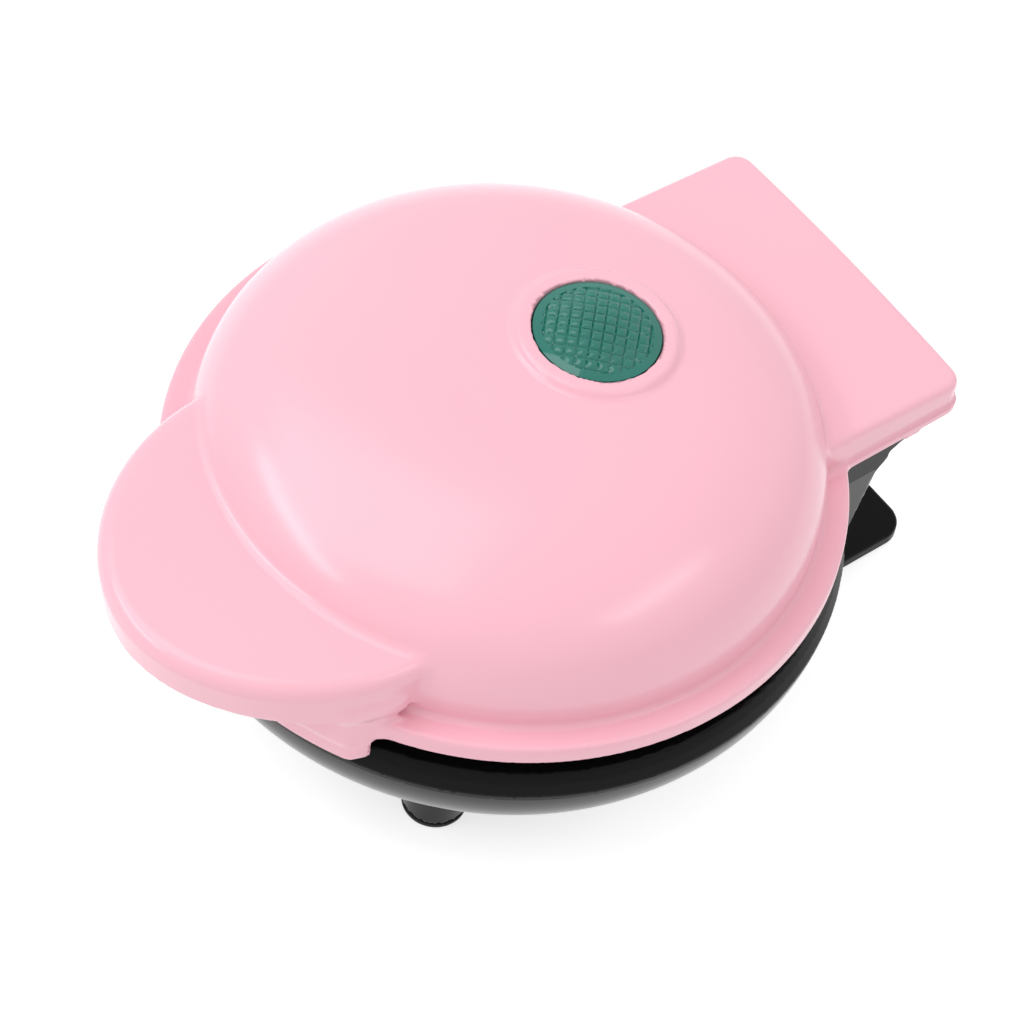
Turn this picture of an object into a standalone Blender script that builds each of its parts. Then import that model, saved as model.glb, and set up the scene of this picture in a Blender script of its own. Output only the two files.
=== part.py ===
"""Mini waffle maker: a domed lid on a rear hinge over a round base, with cast waffle plates.

Metres, +Z up, -Y is the handle side and +Y is the hinge side. The origin is on the surface
that the feet stand on, under the middle of the whole object. Everything is drawn around the
lid's own vertical axis and then set back by LID_AXIS_Y.
"""
import bpy
import bmesh
from math import asin, atan2, ceil, cos, pi, radians, sin, sqrt
from mathutils import Matrix, Vector

# Clearances and cutting allowances
GAP = 0.0003
OVERRUN = 0.001
SINK = 0.0006
WELD = 0.000001
SMOOTH_ANGLE = radians(32)

# Steps round a circle
ROUND_STEPS = 36
PLATE_STEPS = 28
SHIELD_STEPS = 20
SMALL_STEPS = 12
SCREW_STEPS = 8
FILLET_STEPS = 3
SWEEP_STEPS = 5
TUBE_SIDES_RESOLUTION = 1

# Levels above the table
LID_FLANGE_BOTTOM = 0.0425
BASE_RIM_TOP = 0.0370
PLATE_MEETING = 0.0397

# Lid: flange and dome
LID_RADIUS = 0.0625
LID_FLANGE_THICKNESS = 0.0030
LID_FLANGE_EDGE_RADIUS = 0.0012
LID_WALL = 0.0022
LID_FLANGE_WIDTH = 0.0050
DOME_RADIUS = LID_RADIUS - LID_FLANGE_WIDTH
DOME_RISE = 0.0256
DOME_FOOT_FILLET = 0.0016
DOME_POWER = 2.9
DOME_STEPS = 8
INNER_STEPS = 4
LID_FLANGE_TOP = LID_FLANGE_BOTTOM + LID_FLANGE_THICKNESS
DOME_BOTTOM = LID_FLANGE_TOP + 0.3 * DOME_FOOT_FILLET
DOME_TOP = DOME_BOTTOM + DOME_RISE

# Lid: handle, a flat-topped half-round bill with a skirt in front of the gap
HANDLE_HALF_WIDTH = 0.0353
HANDLE_OVERHANG = 0.0207
HANDLE_REACH = LID_RADIUS + HANDLE_OVERHANG
HANDLE_DEPTH = 0.0347
HANDLE_CENTRE = HANDLE_REACH - HANDLE_DEPTH
HANDLE_POWER = 1.70
HANDLE_TOP = 0.0579
HANDLE_THICKNESS = 0.0102
HANDLE_EDGE_RADIUS = 0.0030
HANDLE_DRAFT = 0.0012
HANDLE_ROOT_LENGTH = 0.0105
HANDLE_ROOT = HANDLE_CENTRE - HANDLE_ROOT_LENGTH
HANDLE_STEPS = 16
HANDLE_WALL = 0.0028
HANDLE_RIB = 0.0016
HANDLE_RIB_PITCH = 0.0140
HANDLE_ROOF = 0.0030
SKIRT_STANDOFF = 0.0039
SKIRT_RADIUS = LID_RADIUS + SKIRT_STANDOFF
SKIRT_THICKNESS = 0.0031
SKIRT_SIDE_INSET = 0.0020
SKIRT_HALF_WIDTH = HANDLE_HALF_WIDTH - SKIRT_SIDE_INSET
SKIRT_BOTTOM = 0.0366
SKIRT_EDGE_RADIUS = 0.0008
SKIRT_FILLET = 0.0040
SKIRT_STEPS = 10
HANDLE_BOTTOM = HANDLE_TOP - HANDLE_THICKNESS
SKIRT_ROOT_RADIUS = LID_RADIUS - 0.8 * LID_FLANGE_THICKNESS

# Lid: flat block over the hinge
BLOCK_HALF_WIDTH = 0.0333
BLOCK_BEHIND_HINGE = 0.0107
BLOCK_BOTTOM = 0.0435
BLOCK_REAR_TOP = 0.0513
BLOCK_SLOPE = 0.038
BLOCK_CORNER_RADIUS = 0.0048
BLOCK_EDGE_RADIUS = 0.0012
BLOCK_LIP_HEIGHT = 0.0020
BLOCK_LIP = 0.0004
BLOCK_WALL = 0.0019
BLOCK_ROOT_LENGTH = 0.0115
BLOCK_ROOT = DOME_RADIUS - BLOCK_ROOT_LENGTH
BLOCK_PARTITION = 0.0022
WIRE_WINDOW_WIDTH = 0.0200
WIRE_WINDOW_HEIGHT = 0.0038

# Hinge
HINGE_OFFSET = 0.0080
HINGE_Y = LID_RADIUS + HINGE_OFFSET
REAR_REACH = HINGE_Y + BLOCK_BEHIND_HINGE
LID_AXIS_Y = (HANDLE_REACH - REAR_REACH) / 2
HINGE_Z = 0.0438
HINGE_BOSS_RADIUS = 0.0038
HINGE_PIN_RADIUS = 0.0015
HINGE_PIN_HEAD_RADIUS = 0.0028
HINGE_PIN_HEAD = 0.0014
HINGE_PIN_ENGAGEMENT = 0.0033
HINGE_LUG_RADIUS = 0.0054
HINGE_LUG_THICKNESS = 0.0040
HINGE_BOSS_LENGTH = 0.0040
HINGE_LUG_OUTER = BLOCK_HALF_WIDTH - BLOCK_WALL - HINGE_BOSS_LENGTH - GAP
LEAD_RADIUS = 0.0013

# Indicator lens, in a raised collar on the dome
LENS_Y = 0.0167
LENS_RADIUS = 0.0116
LENS_CROWN = 0.0016
LENS_SKIRT = 0.0030
LENS_WALL = 0.0018
LENS_FLANGE_RADIUS = 0.0129
LENS_FLANGE_THICKNESS = 0.0012
LENS_RECESS = 0.0004
COLLAR_RADIUS = 0.0146
COLLAR_RISE = 0.0009
COLLAR_EDGE_RADIUS = 0.0007
SLEEVE_WALL = 0.0016
SLEEVE_DEPTH = 0.0090
RETAINER_WALL = 0.0016
LAMP_RADIUS = 0.0030
LAMP_LENGTH = 0.0066
LENS_STEPS = 20
CROWN_STEPS = 3

# Cooking plates
PLATE_INSET = 0.0025
PLATE_RADIUS = LID_RADIUS - PLATE_INSET
LOWER_PLATE_INSET = 0.0010
LOWER_PLATE_RADIUS = PLATE_RADIUS - LOWER_PLATE_INSET
PLATE_RIM_THICKNESS = 0.0022
PLATE_WALL = 0.0021
PLATE_FLOOR = 0.0030
PLATE_MEETING_GAP = 0.0004
PLATE_EDGE_RADIUS = 0.0006
PLATE_RIM_WIDTH = 0.0095
DISH_RADIUS = PLATE_RADIUS - PLATE_RIM_WIDTH
DISH_DEPTH = 0.0075
DISH_DRAFT = 0.0045
PEG_PITCH = 0.0165
PEG_BASE = 0.0122
PEG_TOP = 0.0092
PEG_HEIGHT = 0.0049
PEG_EDGE_CLEARANCE = 0.0012
PEG_SMALLEST_SHARE = 0.16
POST_RADIUS = 0.0032
POST_INSET = 0.0105
POST_CIRCLE = DISH_RADIUS - POST_INSET

# Heating elements and their steel pans
ELEMENT_INSET = 0.0080
ELEMENT_CIRCLE = POST_CIRCLE - ELEMENT_INSET
ELEMENT_RADIUS = 0.0028
ELEMENT_BEND = 0.0040
ELEMENT_END_X = 0.0064
ELEMENT_END_ANGLE = asin((ELEMENT_END_X + ELEMENT_BEND) / ELEMENT_CIRCLE)
ELEMENT_STEPS = 18
SHIELD_MARGIN = 0.0060
SHIELD_RADIUS = POST_CIRCLE + SHIELD_MARGIN
SHIELD_LIP = 0.0030
SHIELD_THICKNESS = 0.0008
SHIELD_CENTRE_HOLE = 0.0095
SHIELD_END_HOLE = 0.0040

# Base bowl
BOWL_OVERHANG = 0.00122
BOWL_RADIUS = LID_RADIUS + BOWL_OVERHANG
BOWL_SHOULDER_Z = 0.0316
BOWL_BAND_INSET = 0.00098
BOWL_BAND_RADIUS = BOWL_RADIUS - BOWL_BAND_INSET
BOWL_BAND_Z = 0.0349
BOWL_LIP_INSET = 0.00215
BOWL_LIP_RADIUS = BOWL_RADIUS - BOWL_LIP_INSET
BOWL_STEP = 0.0004
BOWL_FLOOR_Z = 0.0080
BOWL_START_SLOPE = radians(15)
BOWL_WALL = 0.0022
BOWL_RIM_WIDTH = 0.00607
BOWL_MOUTH_RADIUS = BOWL_LIP_RADIUS - BOWL_RIM_WIDTH
BOWL_STEPS = 6
BOWL_BOSS_RADIUS = 0.0046

# Neck of the base
NECK_SIDE_GAP = 0.0004
NECK_HALF_WIDTH = BLOCK_HALF_WIDTH - BLOCK_WALL - NECK_SIDE_GAP
NECK_TAPER = 0.0012
NECK_TOP = 0.0394
NECK_WALL = 0.0026
NECK_OFFSET = 0.0013
NECK_REAR = LID_RADIUS + NECK_OFFSET
NECK_DEPTH = 0.0158
NECK_FRONT = NECK_REAR - NECK_DEPTH
NECK_FOOT_INSET = 0.0016
NECK_FOOT_REAR = NECK_REAR - NECK_FOOT_INSET
NECK_SWEEP_RADIUS = 0.0088
NECK_TIP = 0.0028
NECK_FOOT_FILLET = 0.0030
NECK_SCREW_SIDE_INSET = 0.0110
NECK_SCREW_X = NECK_HALF_WIDTH - NECK_SCREW_SIDE_INSET
NECK_SCREW_INSET = 0.0068
NECK_SCREW_Y = NECK_FOOT_REAR - NECK_SCREW_INSET
NECK_BOSS_RADIUS = 0.0036
NECK_BOSS_HEIGHT = 0.0110

# Stand plate at the foot of the neck
STAND_TOP = 0.0038
STAND_THICKNESS = 0.0032
STAND_SIDE_LEDGE = 0.0005
STAND_HALF_WIDTH = NECK_HALF_WIDTH - NECK_TAPER + STAND_SIDE_LEDGE
STAND_CORNER_RADIUS = 0.0050
STAND_LEDGE = 0.0010
STAND_FRONT = NECK_FRONT - STAND_LEDGE
STAND_REAR_INSET = 0.0010
STAND_REAR = REAR_REACH - STAND_REAR_INSET
STAND_EDGE_RADIUS = 0.0006

# Feet
FOOT_INSET = 0.01912
FOOT_CIRCLE = BOWL_RADIUS - FOOT_INSET
FOOT_ANGLE = radians(47.73)
FOOT_RADIUS = 0.0064
FOOT_TAPER = 0.0004
FOOT_POST_BOTTOM = 0.0018
PAD_RADIUS = 0.0054
PAD_STUD_RADIUS = 0.0026
PAD_STUD_DEPTH = 0.0040
PAD_EDGE_RADIUS = 0.0005

# Fasteners
SCREW_RADIUS = 0.00125
SCREW_HEAD_RADIUS = 0.0025
SCREW_HEAD = 0.0014
RIM_SCREW_INSET = 0.0055
RIM_SCREW_CIRCLE = PLATE_RADIUS - RIM_SCREW_INSET
RIM_BOSS_RADIUS = 0.0028
RIM_SCREW_LENGTH = 0.0090
RIM_BOSS_HEIGHT = 0.0085
POST_SCREW_DEPTH = 0.0045
SCREW_CLEARANCE = GAP

# Small parts inside
THERMOSTAT_RADIUS = 0.0075
THERMOSTAT_HEIGHT = 0.0075
THERMOSTAT_CAP_RADIUS = 0.0037
THERMOSTAT_CAP = 0.0030
THERMOSTAT_EAR_LENGTH = 0.0280
THERMOSTAT_EAR_WIDTH = 0.0070
THERMOSTAT_EAR_THICKNESS = 0.0010
THERMOSTAT_SCREW_X = 0.0112
THERMOSTAT_SCREW_DEPTH = 0.0018
FUSE_RADIUS = 0.0020
FUSE_LENGTH = 0.0100
FUSE_X = 0.0180
FUSE_Y = -0.0160
CLIP_THICKNESS = 0.0006
CLIP_WIDTH = 0.0040
CLIP_FOOT = 0.0030
TERMINAL_MARGIN = 0.0009
TERMINAL_LENGTH = 0.0170
TERMINAL_WIDTH = 0.0095
TERMINAL_HEIGHT = 0.0082
TERMINAL_BORE = 0.0016
TERMINAL_POLE_SHARE = 0.62
LEAD_RUN_SHARE = 0.32
GLAND_Z = 0.0170
GLAND_RADIUS = 0.0046
GLAND_FLANGE_RADIUS = 0.0062
GLAND_FLANGE = 0.0018
GLAND_NOSE_RADIUS = 0.0040
GLAND_NOSE = 0.0036
GLAND_BORE = 0.0026
GLAND_GROOVE_LENGTH = 0.0020

# Levels and sizes that follow from the values above
UPPER_FACE = PLATE_MEETING + PLATE_MEETING_GAP / 2
LOWER_FACE = PLATE_MEETING - PLATE_MEETING_GAP / 2
PLATE_BACK = DISH_DEPTH + PLATE_FLOOR
POST_END = PLATE_BACK + 2 * GAP + 2 * ELEMENT_RADIUS
SHIELD_NEAR = POST_END + GAP
SHIELD_FAR = SHIELD_NEAR + SHIELD_THICKNESS
SHANK_HOLE = SCREW_RADIUS + SCREW_CLEARANCE
BOWL_ARC_RADIUS = (BOWL_SHOULDER_Z - BOWL_STEP - BOWL_FLOOR_Z) / (1 - sin(BOWL_START_SLOPE))
BOWL_ARC_CENTRE = BOWL_RADIUS - BOWL_STEP - BOWL_ARC_RADIUS * cos(BOWL_START_SLOPE)
BOWL_ARC_Z = BOWL_FLOOR_Z + BOWL_ARC_RADIUS
HINGE_LUG_INNER = HINGE_LUG_OUTER - HINGE_LUG_THICKNESS
NECK_FOOT_Z = STAND_TOP + GAP
TERMINAL_Y = BOWL_ARC_CENTRE - TERMINAL_WIDTH / 2 - TERMINAL_MARGIN
TERMINAL_BOTTOM = BOWL_FLOOR_Z + BOWL_WALL + GAP
TERMINAL_TOP = TERMINAL_BOTTOM + TERMINAL_HEIGHT
ELEMENT_END = LOWER_FACE - TERMINAL_TOP - GAP
STAND_BOTTOM = STAND_TOP - STAND_THICKNESS
SLEEVE_INNER = LENS_FLANGE_RADIUS + 2 * GAP
SLEEVE_CEILING = -LENS_SKIRT + GAP

POST_ANGLES = (radians(-90), radians(10), radians(170))
RIM_SCREW_ANGLES = (radians(-90), radians(30), radians(150))
FOOT_SIDES = ((1, -1), (-1, -1), (1, 1), (-1, 1))


def clear_scene():
    """Remove whatever the scene holds before the model is made."""
    for obj in list(bpy.data.objects):
        bpy.data.objects.remove(obj)


def material(name, colour, roughness, metallic=0.0, transmission=0.0):
    """One plain surface of the product."""
    look = bpy.data.materials.new(name)
    look.use_nodes = True
    shader = look.node_tree.nodes["Principled BSDF"]
    shader.inputs["Base Color"].default_value = (*colour, 1.0)
    shader.inputs["Roughness"].default_value = roughness
    shader.inputs["Metallic"].default_value = metallic
    shader.inputs["Transmission Weight"].default_value = transmission
    look.diffuse_color = (*colour, 1.0)
    return look


# Outlines in a plane, as lists of points

def arc(centre_a, centre_b, radius, start, end, steps):
    """Points along a circular arc, both ends included."""
    points = []
    for step in range(steps + 1):
        angle = start + (end - start) * step / steps
        points.append((centre_a + radius * cos(angle), centre_b + radius * sin(angle)))
    return points


def dome_height_at(r, radius, rise):
    """Height of the dome's superellipse over its foot at a radius."""
    return rise * (1 - (r / radius) ** DOME_POWER) ** (1 / DOME_POWER)


def dome_curve(radius, rise, bottom, steps):
    """Quarter superellipse from the foot of the wall up to the axis."""
    points = []
    for step in range(steps + 1):
        angle = pi / 2 * step / steps
        r = radius * cos(angle) ** (2 / DOME_POWER) if step < steps else 0.0
        points.append((r, bottom + rise * sin(angle) ** (2 / DOME_POWER)))
    return points


def handle_outline(inset):
    """Half-round front of the handle, closed by a straight back inside the dome."""
    half = HANDLE_HALF_WIDTH - inset
    depth = HANDLE_REACH - HANDLE_CENTRE - inset
    points = [(half, -HANDLE_ROOT), (-half, -HANDLE_ROOT)]
    for step in range(HANDLE_STEPS + 1):
        angle = pi * step / HANDLE_STEPS
        along = abs(cos(angle)) ** (2 / HANDLE_POWER)
        out = sin(angle) ** (2 / HANDLE_POWER) if 0 < step < HANDLE_STEPS else 0.0
        side = -1 if cos(angle) > 0 else 1
        points.append((side * half * along, -HANDLE_CENTRE - depth * out))
    return points


def block_outline(inset):
    """Hinge block seen from above: square where it enters the dome, rounded at the rear."""
    half = BLOCK_HALF_WIDTH - inset
    rear = REAR_REACH - BLOCK_LIP - inset
    radius = BLOCK_CORNER_RADIUS - inset
    points = [(-half, BLOCK_ROOT), (half, BLOCK_ROOT)]
    points += arc(half - radius, rear - radius, radius, 0, pi / 2, FILLET_STEPS + 1)
    points += arc(-half + radius, rear - radius, radius, pi / 2, pi, FILLET_STEPS + 1)
    return points


def block_top(y):
    """Height of the hinge block's top, which falls gently to the rear."""
    return BLOCK_REAR_TOP + (REAR_REACH - y) * BLOCK_SLOPE


# Solids

def solid(name, bm):
    """Close a bmesh into a named object."""
    bmesh.ops.remove_doubles(bm, verts=bm.verts, dist=WELD)
    bmesh.ops.recalc_face_normals(bm, faces=bm.faces)
    mesh = bpy.data.meshes.new(name)
    bm.to_mesh(mesh)
    bm.free()
    obj = bpy.data.objects.new(name, mesh)
    bpy.context.collection.objects.link(obj)
    return obj


def turned(name, profile, steps=ROUND_STEPS, start=0.0, sweep=2 * pi):
    """Revolve a profile of (radius, height) points about the vertical axis."""
    bm = bmesh.new()
    verts = [bm.verts.new((r * cos(start), r * sin(start), z)) for r, z in profile]
    whole = sweep >= 2 * pi
    if whole:
        on_axis = profile[0][0] < WELD and profile[-1][0] < WELD
        pairs = list(zip(verts, verts[1:]))
        if not on_axis:
            pairs.append((verts[-1], verts[0]))
        parts = verts + [bm.edges.new(pair) for pair in pairs]
    else:
        parts = [bm.faces.new(verts)]
    bmesh.ops.spin(bm, geom=parts, cent=(0, 0, 0), axis=(0, 0, 1), angle=sweep, steps=steps,
                   use_merge=whole)
    return solid(name, bm)


def extruded(name, outline, low, high, axis="Z"):
    """Push an outline along Z, or along X where its points are (y, z)."""
    bm = bmesh.new()
    face = bm.faces.new([bm.verts.new((a, b, low)) for a, b in outline])
    grown = bmesh.ops.extrude_face_region(bm, geom=[face])
    moved = [item for item in grown["geom"] if isinstance(item, bmesh.types.BMVert)]
    bmesh.ops.translate(bm, verts=moved, vec=(0, 0, high - low))
    if axis == "X":
        turn = Matrix(((0, 0, 1, 0), (1, 0, 0, 0), (0, 1, 0, 0), (0, 0, 0, 1)))
        bmesh.ops.transform(bm, matrix=turn, verts=bm.verts)
    return solid(name, bm)


def lofted(name, loops):
    """Skin a stack of matching closed loops and cap both ends."""
    bm = bmesh.new()
    rings = [[bm.verts.new(point) for point in loop] for loop in loops]
    count = len(rings[0])
    for low, high in zip(rings, rings[1:]):
        for i in range(count):
            after = (i + 1) % count
            bm.faces.new((low[i], low[after], high[after], high[i]))
    bm.faces.new(rings[0])
    bm.faces.new(rings[-1])
    return solid(name, bm)


def box(name, low, high):
    """A rectangular solid between two corners."""
    outline = [(low[0], low[1]), (high[0], low[1]), (high[0], high[1]), (low[0], high[1])]
    return extruded(name, outline, low[2], high[2])


def rod(name, radius, low, high, x=0.0, y=0.0, steps=SMALL_STEPS):
    """A vertical cylinder."""
    return move(turned(name, [(0, low), (radius, low), (radius, high), (0, high)], steps), (x, y, 0))


def cross_rod(name, radius, low, high, y, z, steps=SMALL_STEPS):
    """A cylinder along X from x = low to x = high."""
    return extruded(name, arc(y, z, radius, 0, 2 * pi, steps)[:-1], low, high, axis="X")


def cone(name, low_radius, high_radius, low, high, x=0.0, y=0.0, steps=SMALL_STEPS):
    """A vertical frustum."""
    profile = [(0, low), (low_radius, low), (high_radius, high), (0, high)]
    return move(turned(name, profile, steps), (x, y, 0))


def stepped_hole(name, radius, low, step_z, wide, high, x, y, cone_z=None):
    """A vertical cutter, narrow up to a step and wide above it, or coned where cone_z is given."""
    profile = [(0, low), (radius, low), (radius, step_z)]
    profile += [(wide, step_z if cone_z is None else cone_z), (wide, high), (0, high)]
    return move(turned(name, profile, SMALL_STEPS), (x, y, 0))


def gather(name, pieces):
    """Put solids that stay clear of each other into one object, for a single Boolean."""
    bm = bmesh.new()
    for piece in pieces:
        bm.from_mesh(piece.data)
        bpy.data.objects.remove(piece)
    mesh = bpy.data.meshes.new(name)
    bm.to_mesh(mesh)
    bm.free()
    obj = bpy.data.objects.new(name, mesh)
    bpy.context.collection.objects.link(obj)
    return obj


def transform(obj, matrix):
    """Apply a matrix to an object's mesh."""
    obj.data.transform(matrix)
    if matrix.determinant() < 0:
        obj.data.flip_normals()
    return obj


def move(obj, offset):
    """Shift an object's mesh."""
    return transform(obj, Matrix.Translation(offset))


def boolean(target, tool, operation):
    """Join, cut or intersect with an exact Boolean, and use the tool up."""
    change = target.modifiers.new(operation, "BOOLEAN")
    change.operation = operation
    change.solver = "EXACT"
    change.object = tool
    result = bpy.data.meshes.new_from_object(
        target.evaluated_get(bpy.context.evaluated_depsgraph_get()))
    target.modifiers.clear()
    target.data = result
    bpy.data.objects.remove(tool)
    return split_wide_faces(target)


def split_wide_faces(obj):
    """Cut faces of more than four corners into triangles, which keeps the next Boolean exact."""
    bm = bmesh.new()
    bm.from_mesh(obj.data)
    wide = [face for face in bm.faces if len(face.verts) > 4]
    bmesh.ops.triangulate(bm, faces=wide)
    bmesh.ops.remove_doubles(bm, verts=bm.verts, dist=WELD / 10)
    bm.to_mesh(obj.data)
    bm.free()
    return obj


def join(target, *tools):
    """Unite solids into one body."""
    for tool in tools:
        boolean(target, tool, "UNION")
    return target


def cut(target, *tools):
    """Take solids away from a body."""
    for tool in tools:
        boolean(target, tool, "DIFFERENCE")
    return target


def tube(name, points, radius):
    """A bent tube on a smooth path through the given points, with closed ends."""
    curve = bpy.data.curves.new(name, "CURVE")
    curve.dimensions = "3D"
    curve.bevel_depth = radius
    curve.bevel_resolution = TUBE_SIDES_RESOLUTION
    curve.use_fill_caps = True
    line = curve.splines.new("POLY")
    line.points.add(len(points) - 1)
    for slot, point in zip(line.points, points):
        slot.co = (*point, 1.0)
    obj = bpy.data.objects.new(name, curve)
    bpy.context.collection.objects.link(obj)
    return obj


def smooth_path(knots, steps):
    """Catmull-Rom curve through the knots, so that a lead bends without corners."""
    ends = [2 * Vector(knots[0]) - Vector(knots[1])] + [Vector(knot) for knot in knots]
    ends.append(2 * Vector(knots[-1]) - Vector(knots[-2]))
    points = []
    for a, b, c, d in zip(ends, ends[1:], ends[2:], ends[3:]):
        for step in range(steps):
            t = step / steps
            points.append((2 * b + (c - a) * t + (2 * a - 5 * b + 4 * c - d) * t ** 2
                           + (3 * b - a - 3 * c + d) * t ** 3) / 2)
    points.append(Vector(knots[-1]))
    return points


def on_circle(radius, angle):
    """A place on a circle about the lid axis."""
    return radius * cos(angle), radius * sin(angle)


# The lid

def lid_round_profile():
    """Half section of the flange and dome as one solid."""
    edge = LID_FLANGE_EDGE_RADIUS
    rim = [(0, LID_FLANGE_BOTTOM)]
    rim += arc(LID_RADIUS - edge, LID_FLANGE_BOTTOM + edge, edge, -pi / 2, 0, FILLET_STEPS)
    rim += arc(LID_RADIUS - edge, LID_FLANGE_TOP - edge, edge, 0, pi / 2, FILLET_STEPS)
    foot = DOME_FOOT_FILLET
    rim += arc(DOME_RADIUS + foot, LID_FLANGE_TOP + foot, foot, -pi / 2, -pi, FILLET_STEPS)
    dome = dome_curve(DOME_RADIUS, DOME_RISE, DOME_BOTTOM, DOME_STEPS)
    return rim + [point for point in dome if point[1] > LID_FLANGE_TOP + foot + SINK]


def handle_solid():
    """Flat-topped bill of the handle, drafted below and rounded round the top edge."""
    edge = HANDLE_EDGE_RADIUS
    levels = [(HANDLE_DRAFT, HANDLE_BOTTOM), (0.0, HANDLE_TOP - edge)]
    for inset, drop in arc(edge, -edge, edge, pi, pi / 2, FILLET_STEPS)[1:]:
        levels.append((inset, HANDLE_TOP + drop))
    return lofted("handle", [[(x, y, z) for x, y in handle_outline(inset)] for inset, z in levels])


def skirt_solid():
    """Curved wall under the handle, with the arch where the handle turns down into it."""
    inner = SKIRT_RADIUS - SKIRT_THICKNESS
    edge = SKIRT_EDGE_RADIUS
    profile = [(SKIRT_ROOT_RADIUS, LID_FLANGE_BOTTOM + SINK), (inner, LID_FLANGE_BOTTOM + SINK)]
    profile += [(inner, SKIRT_BOTTOM)]
    profile += arc(SKIRT_RADIUS - edge, SKIRT_BOTTOM + edge, edge, -pi / 2, 0, 2)
    arch = arc(SKIRT_RADIUS + SKIRT_FILLET, HANDLE_BOTTOM - SKIRT_FILLET, SKIRT_FILLET,
               pi, pi / 2, FILLET_STEPS)
    profile += arch
    profile += [(SKIRT_RADIUS + SKIRT_FILLET, HANDLE_BOTTOM + SINK)]
    profile += [(SKIRT_ROOT_RADIUS, HANDLE_BOTTOM + SINK)]
    reach = asin(SKIRT_HALF_WIDTH / SKIRT_ROOT_RADIUS) + radians(6)
    wall = turned("skirt", profile, SKIRT_STEPS, start=-pi / 2 - reach, sweep=2 * reach)
    keep = box("skirt_sides", (-SKIRT_HALF_WIDTH, -HANDLE_REACH, SKIRT_BOTTOM - OVERRUN),
               (SKIRT_HALF_WIDTH, 0, HANDLE_TOP))
    return boolean(wall, keep, "INTERSECT")


def block_solid():
    """Flat block over the hinge, with a small lip along its lower edge."""
    levels = [(-BLOCK_LIP, 0.0), (-BLOCK_LIP, BLOCK_LIP_HEIGHT - BLOCK_LIP), (0.0, BLOCK_LIP_HEIGHT)]
    edge = BLOCK_EDGE_RADIUS
    tall = BLOCK_REAR_TOP - BLOCK_BOTTOM
    for inset, drop in arc(edge, -edge, edge, pi, pi / 2, FILLET_STEPS):
        levels.append((inset, tall + drop))
    loops = []
    for inset, height in levels:
        loops.append([(x, y, BLOCK_BOTTOM + height * (block_top(y) - BLOCK_BOTTOM) / tall)
                      for x, y in block_outline(inset)])
    return lofted("block", loops)


def dome_cavity():
    """Hollow of the dome, open below through the flange."""
    radius = DOME_RADIUS - LID_WALL
    profile = [(0, LID_FLANGE_BOTTOM - OVERRUN), (radius, LID_FLANGE_BOTTOM - OVERRUN)]
    profile += dome_curve(radius, DOME_RISE - LID_WALL, DOME_BOTTOM, INNER_STEPS)
    return turned("dome_cavity", profile)


def block_cavity():
    """Hollow of the hinge block, open below, which keeps the dome's wall and flange."""
    half = BLOCK_HALF_WIDTH - BLOCK_WALL
    rear = REAR_REACH - BLOCK_LIP - BLOCK_WALL
    roof = BLOCK_REAR_TOP - BLOCK_WALL
    hollow = box("block_cavity", (-half, BLOCK_ROOT - OVERRUN, BLOCK_BOTTOM - 2 * OVERRUN),
                 (half, rear, roof))
    keep = turned("dome_keep", [(0, 0), (LID_RADIUS + SINK, 0), (LID_RADIUS + SINK, LID_FLANGE_TOP),
                                (DOME_RADIUS + BLOCK_PARTITION / 2, LID_FLANGE_TOP),
                                (DOME_RADIUS + BLOCK_PARTITION / 2, DOME_TOP), (0, DOME_TOP)])
    return cut(hollow, keep)


def handle_pockets():
    """Three open pockets under the handle, with ribs between them."""
    roof = HANDLE_TOP - HANDLE_ROOF
    pocket = extruded("pocket", handle_outline(HANDLE_WALL + HANDLE_DRAFT), HANDLE_BOTTOM - OVERRUN, roof)
    root = turned("pocket_root", [(0, 0), (SKIRT_RADIUS + SKIRT_FILLET + SINK, 0),
                                  (SKIRT_RADIUS + SKIRT_FILLET + SINK, DOME_TOP), (0, DOME_TOP)])
    cut(pocket, root)
    for side in (-1, 1):
        middle = side * HANDLE_RIB_PITCH / 2
        cut(pocket, box("rib", (middle - HANDLE_RIB / 2, -HANDLE_REACH, 0),
                        (middle + HANDLE_RIB / 2, 0, DOME_TOP)))
    return pocket


def lens_frame():
    """Matrix from the lens's own axis to the lid: it leans with the dome under it."""
    high = dome_height_at(LENS_Y + COLLAR_RADIUS, DOME_RADIUS, DOME_RISE)
    low = dome_height_at(LENS_Y - COLLAR_RADIUS, DOME_RADIUS, DOME_RISE)
    lean = atan2(high - low, 2 * COLLAR_RADIUS)
    rim = DOME_BOTTOM + dome_height_at(LENS_Y, DOME_RADIUS, DOME_RISE) + COLLAR_RISE - LENS_RECESS
    return Matrix.Translation((0, LENS_Y, rim)) @ Matrix.Rotation(lean, 4, "X")


def collar_solid():
    """Raised ring round the lens, and the sleeve inside that holds the retainer."""
    edge = COLLAR_EDGE_RADIUS
    profile = [(0, LENS_RECESS), (COLLAR_RADIUS - edge, LENS_RECESS)]
    profile += arc(COLLAR_RADIUS - edge, LENS_RECESS - edge, edge, pi / 2, 0, 2)[1:]
    profile += [(COLLAR_RADIUS, SLEEVE_CEILING), (SLEEVE_INNER + SLEEVE_WALL, SLEEVE_CEILING)]
    profile += [(SLEEVE_INNER + SLEEVE_WALL, -SLEEVE_DEPTH), (0, -SLEEVE_DEPTH)]
    return transform(turned("collar", profile, LENS_STEPS), lens_frame())


def lens_opening():
    """Hole through the collar for the lens, wider inside the sleeve for its flange and the retainer."""
    low = -SLEEVE_DEPTH - 2 * OVERRUN
    profile = [(0, low), (SLEEVE_INNER, low), (SLEEVE_INNER, SLEEVE_CEILING)]
    profile += [(LENS_RADIUS + GAP, SLEEVE_CEILING), (LENS_RADIUS + GAP, OVERRUN), (0, OVERRUN)]
    return transform(turned("lens_opening", profile, LENS_STEPS), lens_frame())


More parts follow.
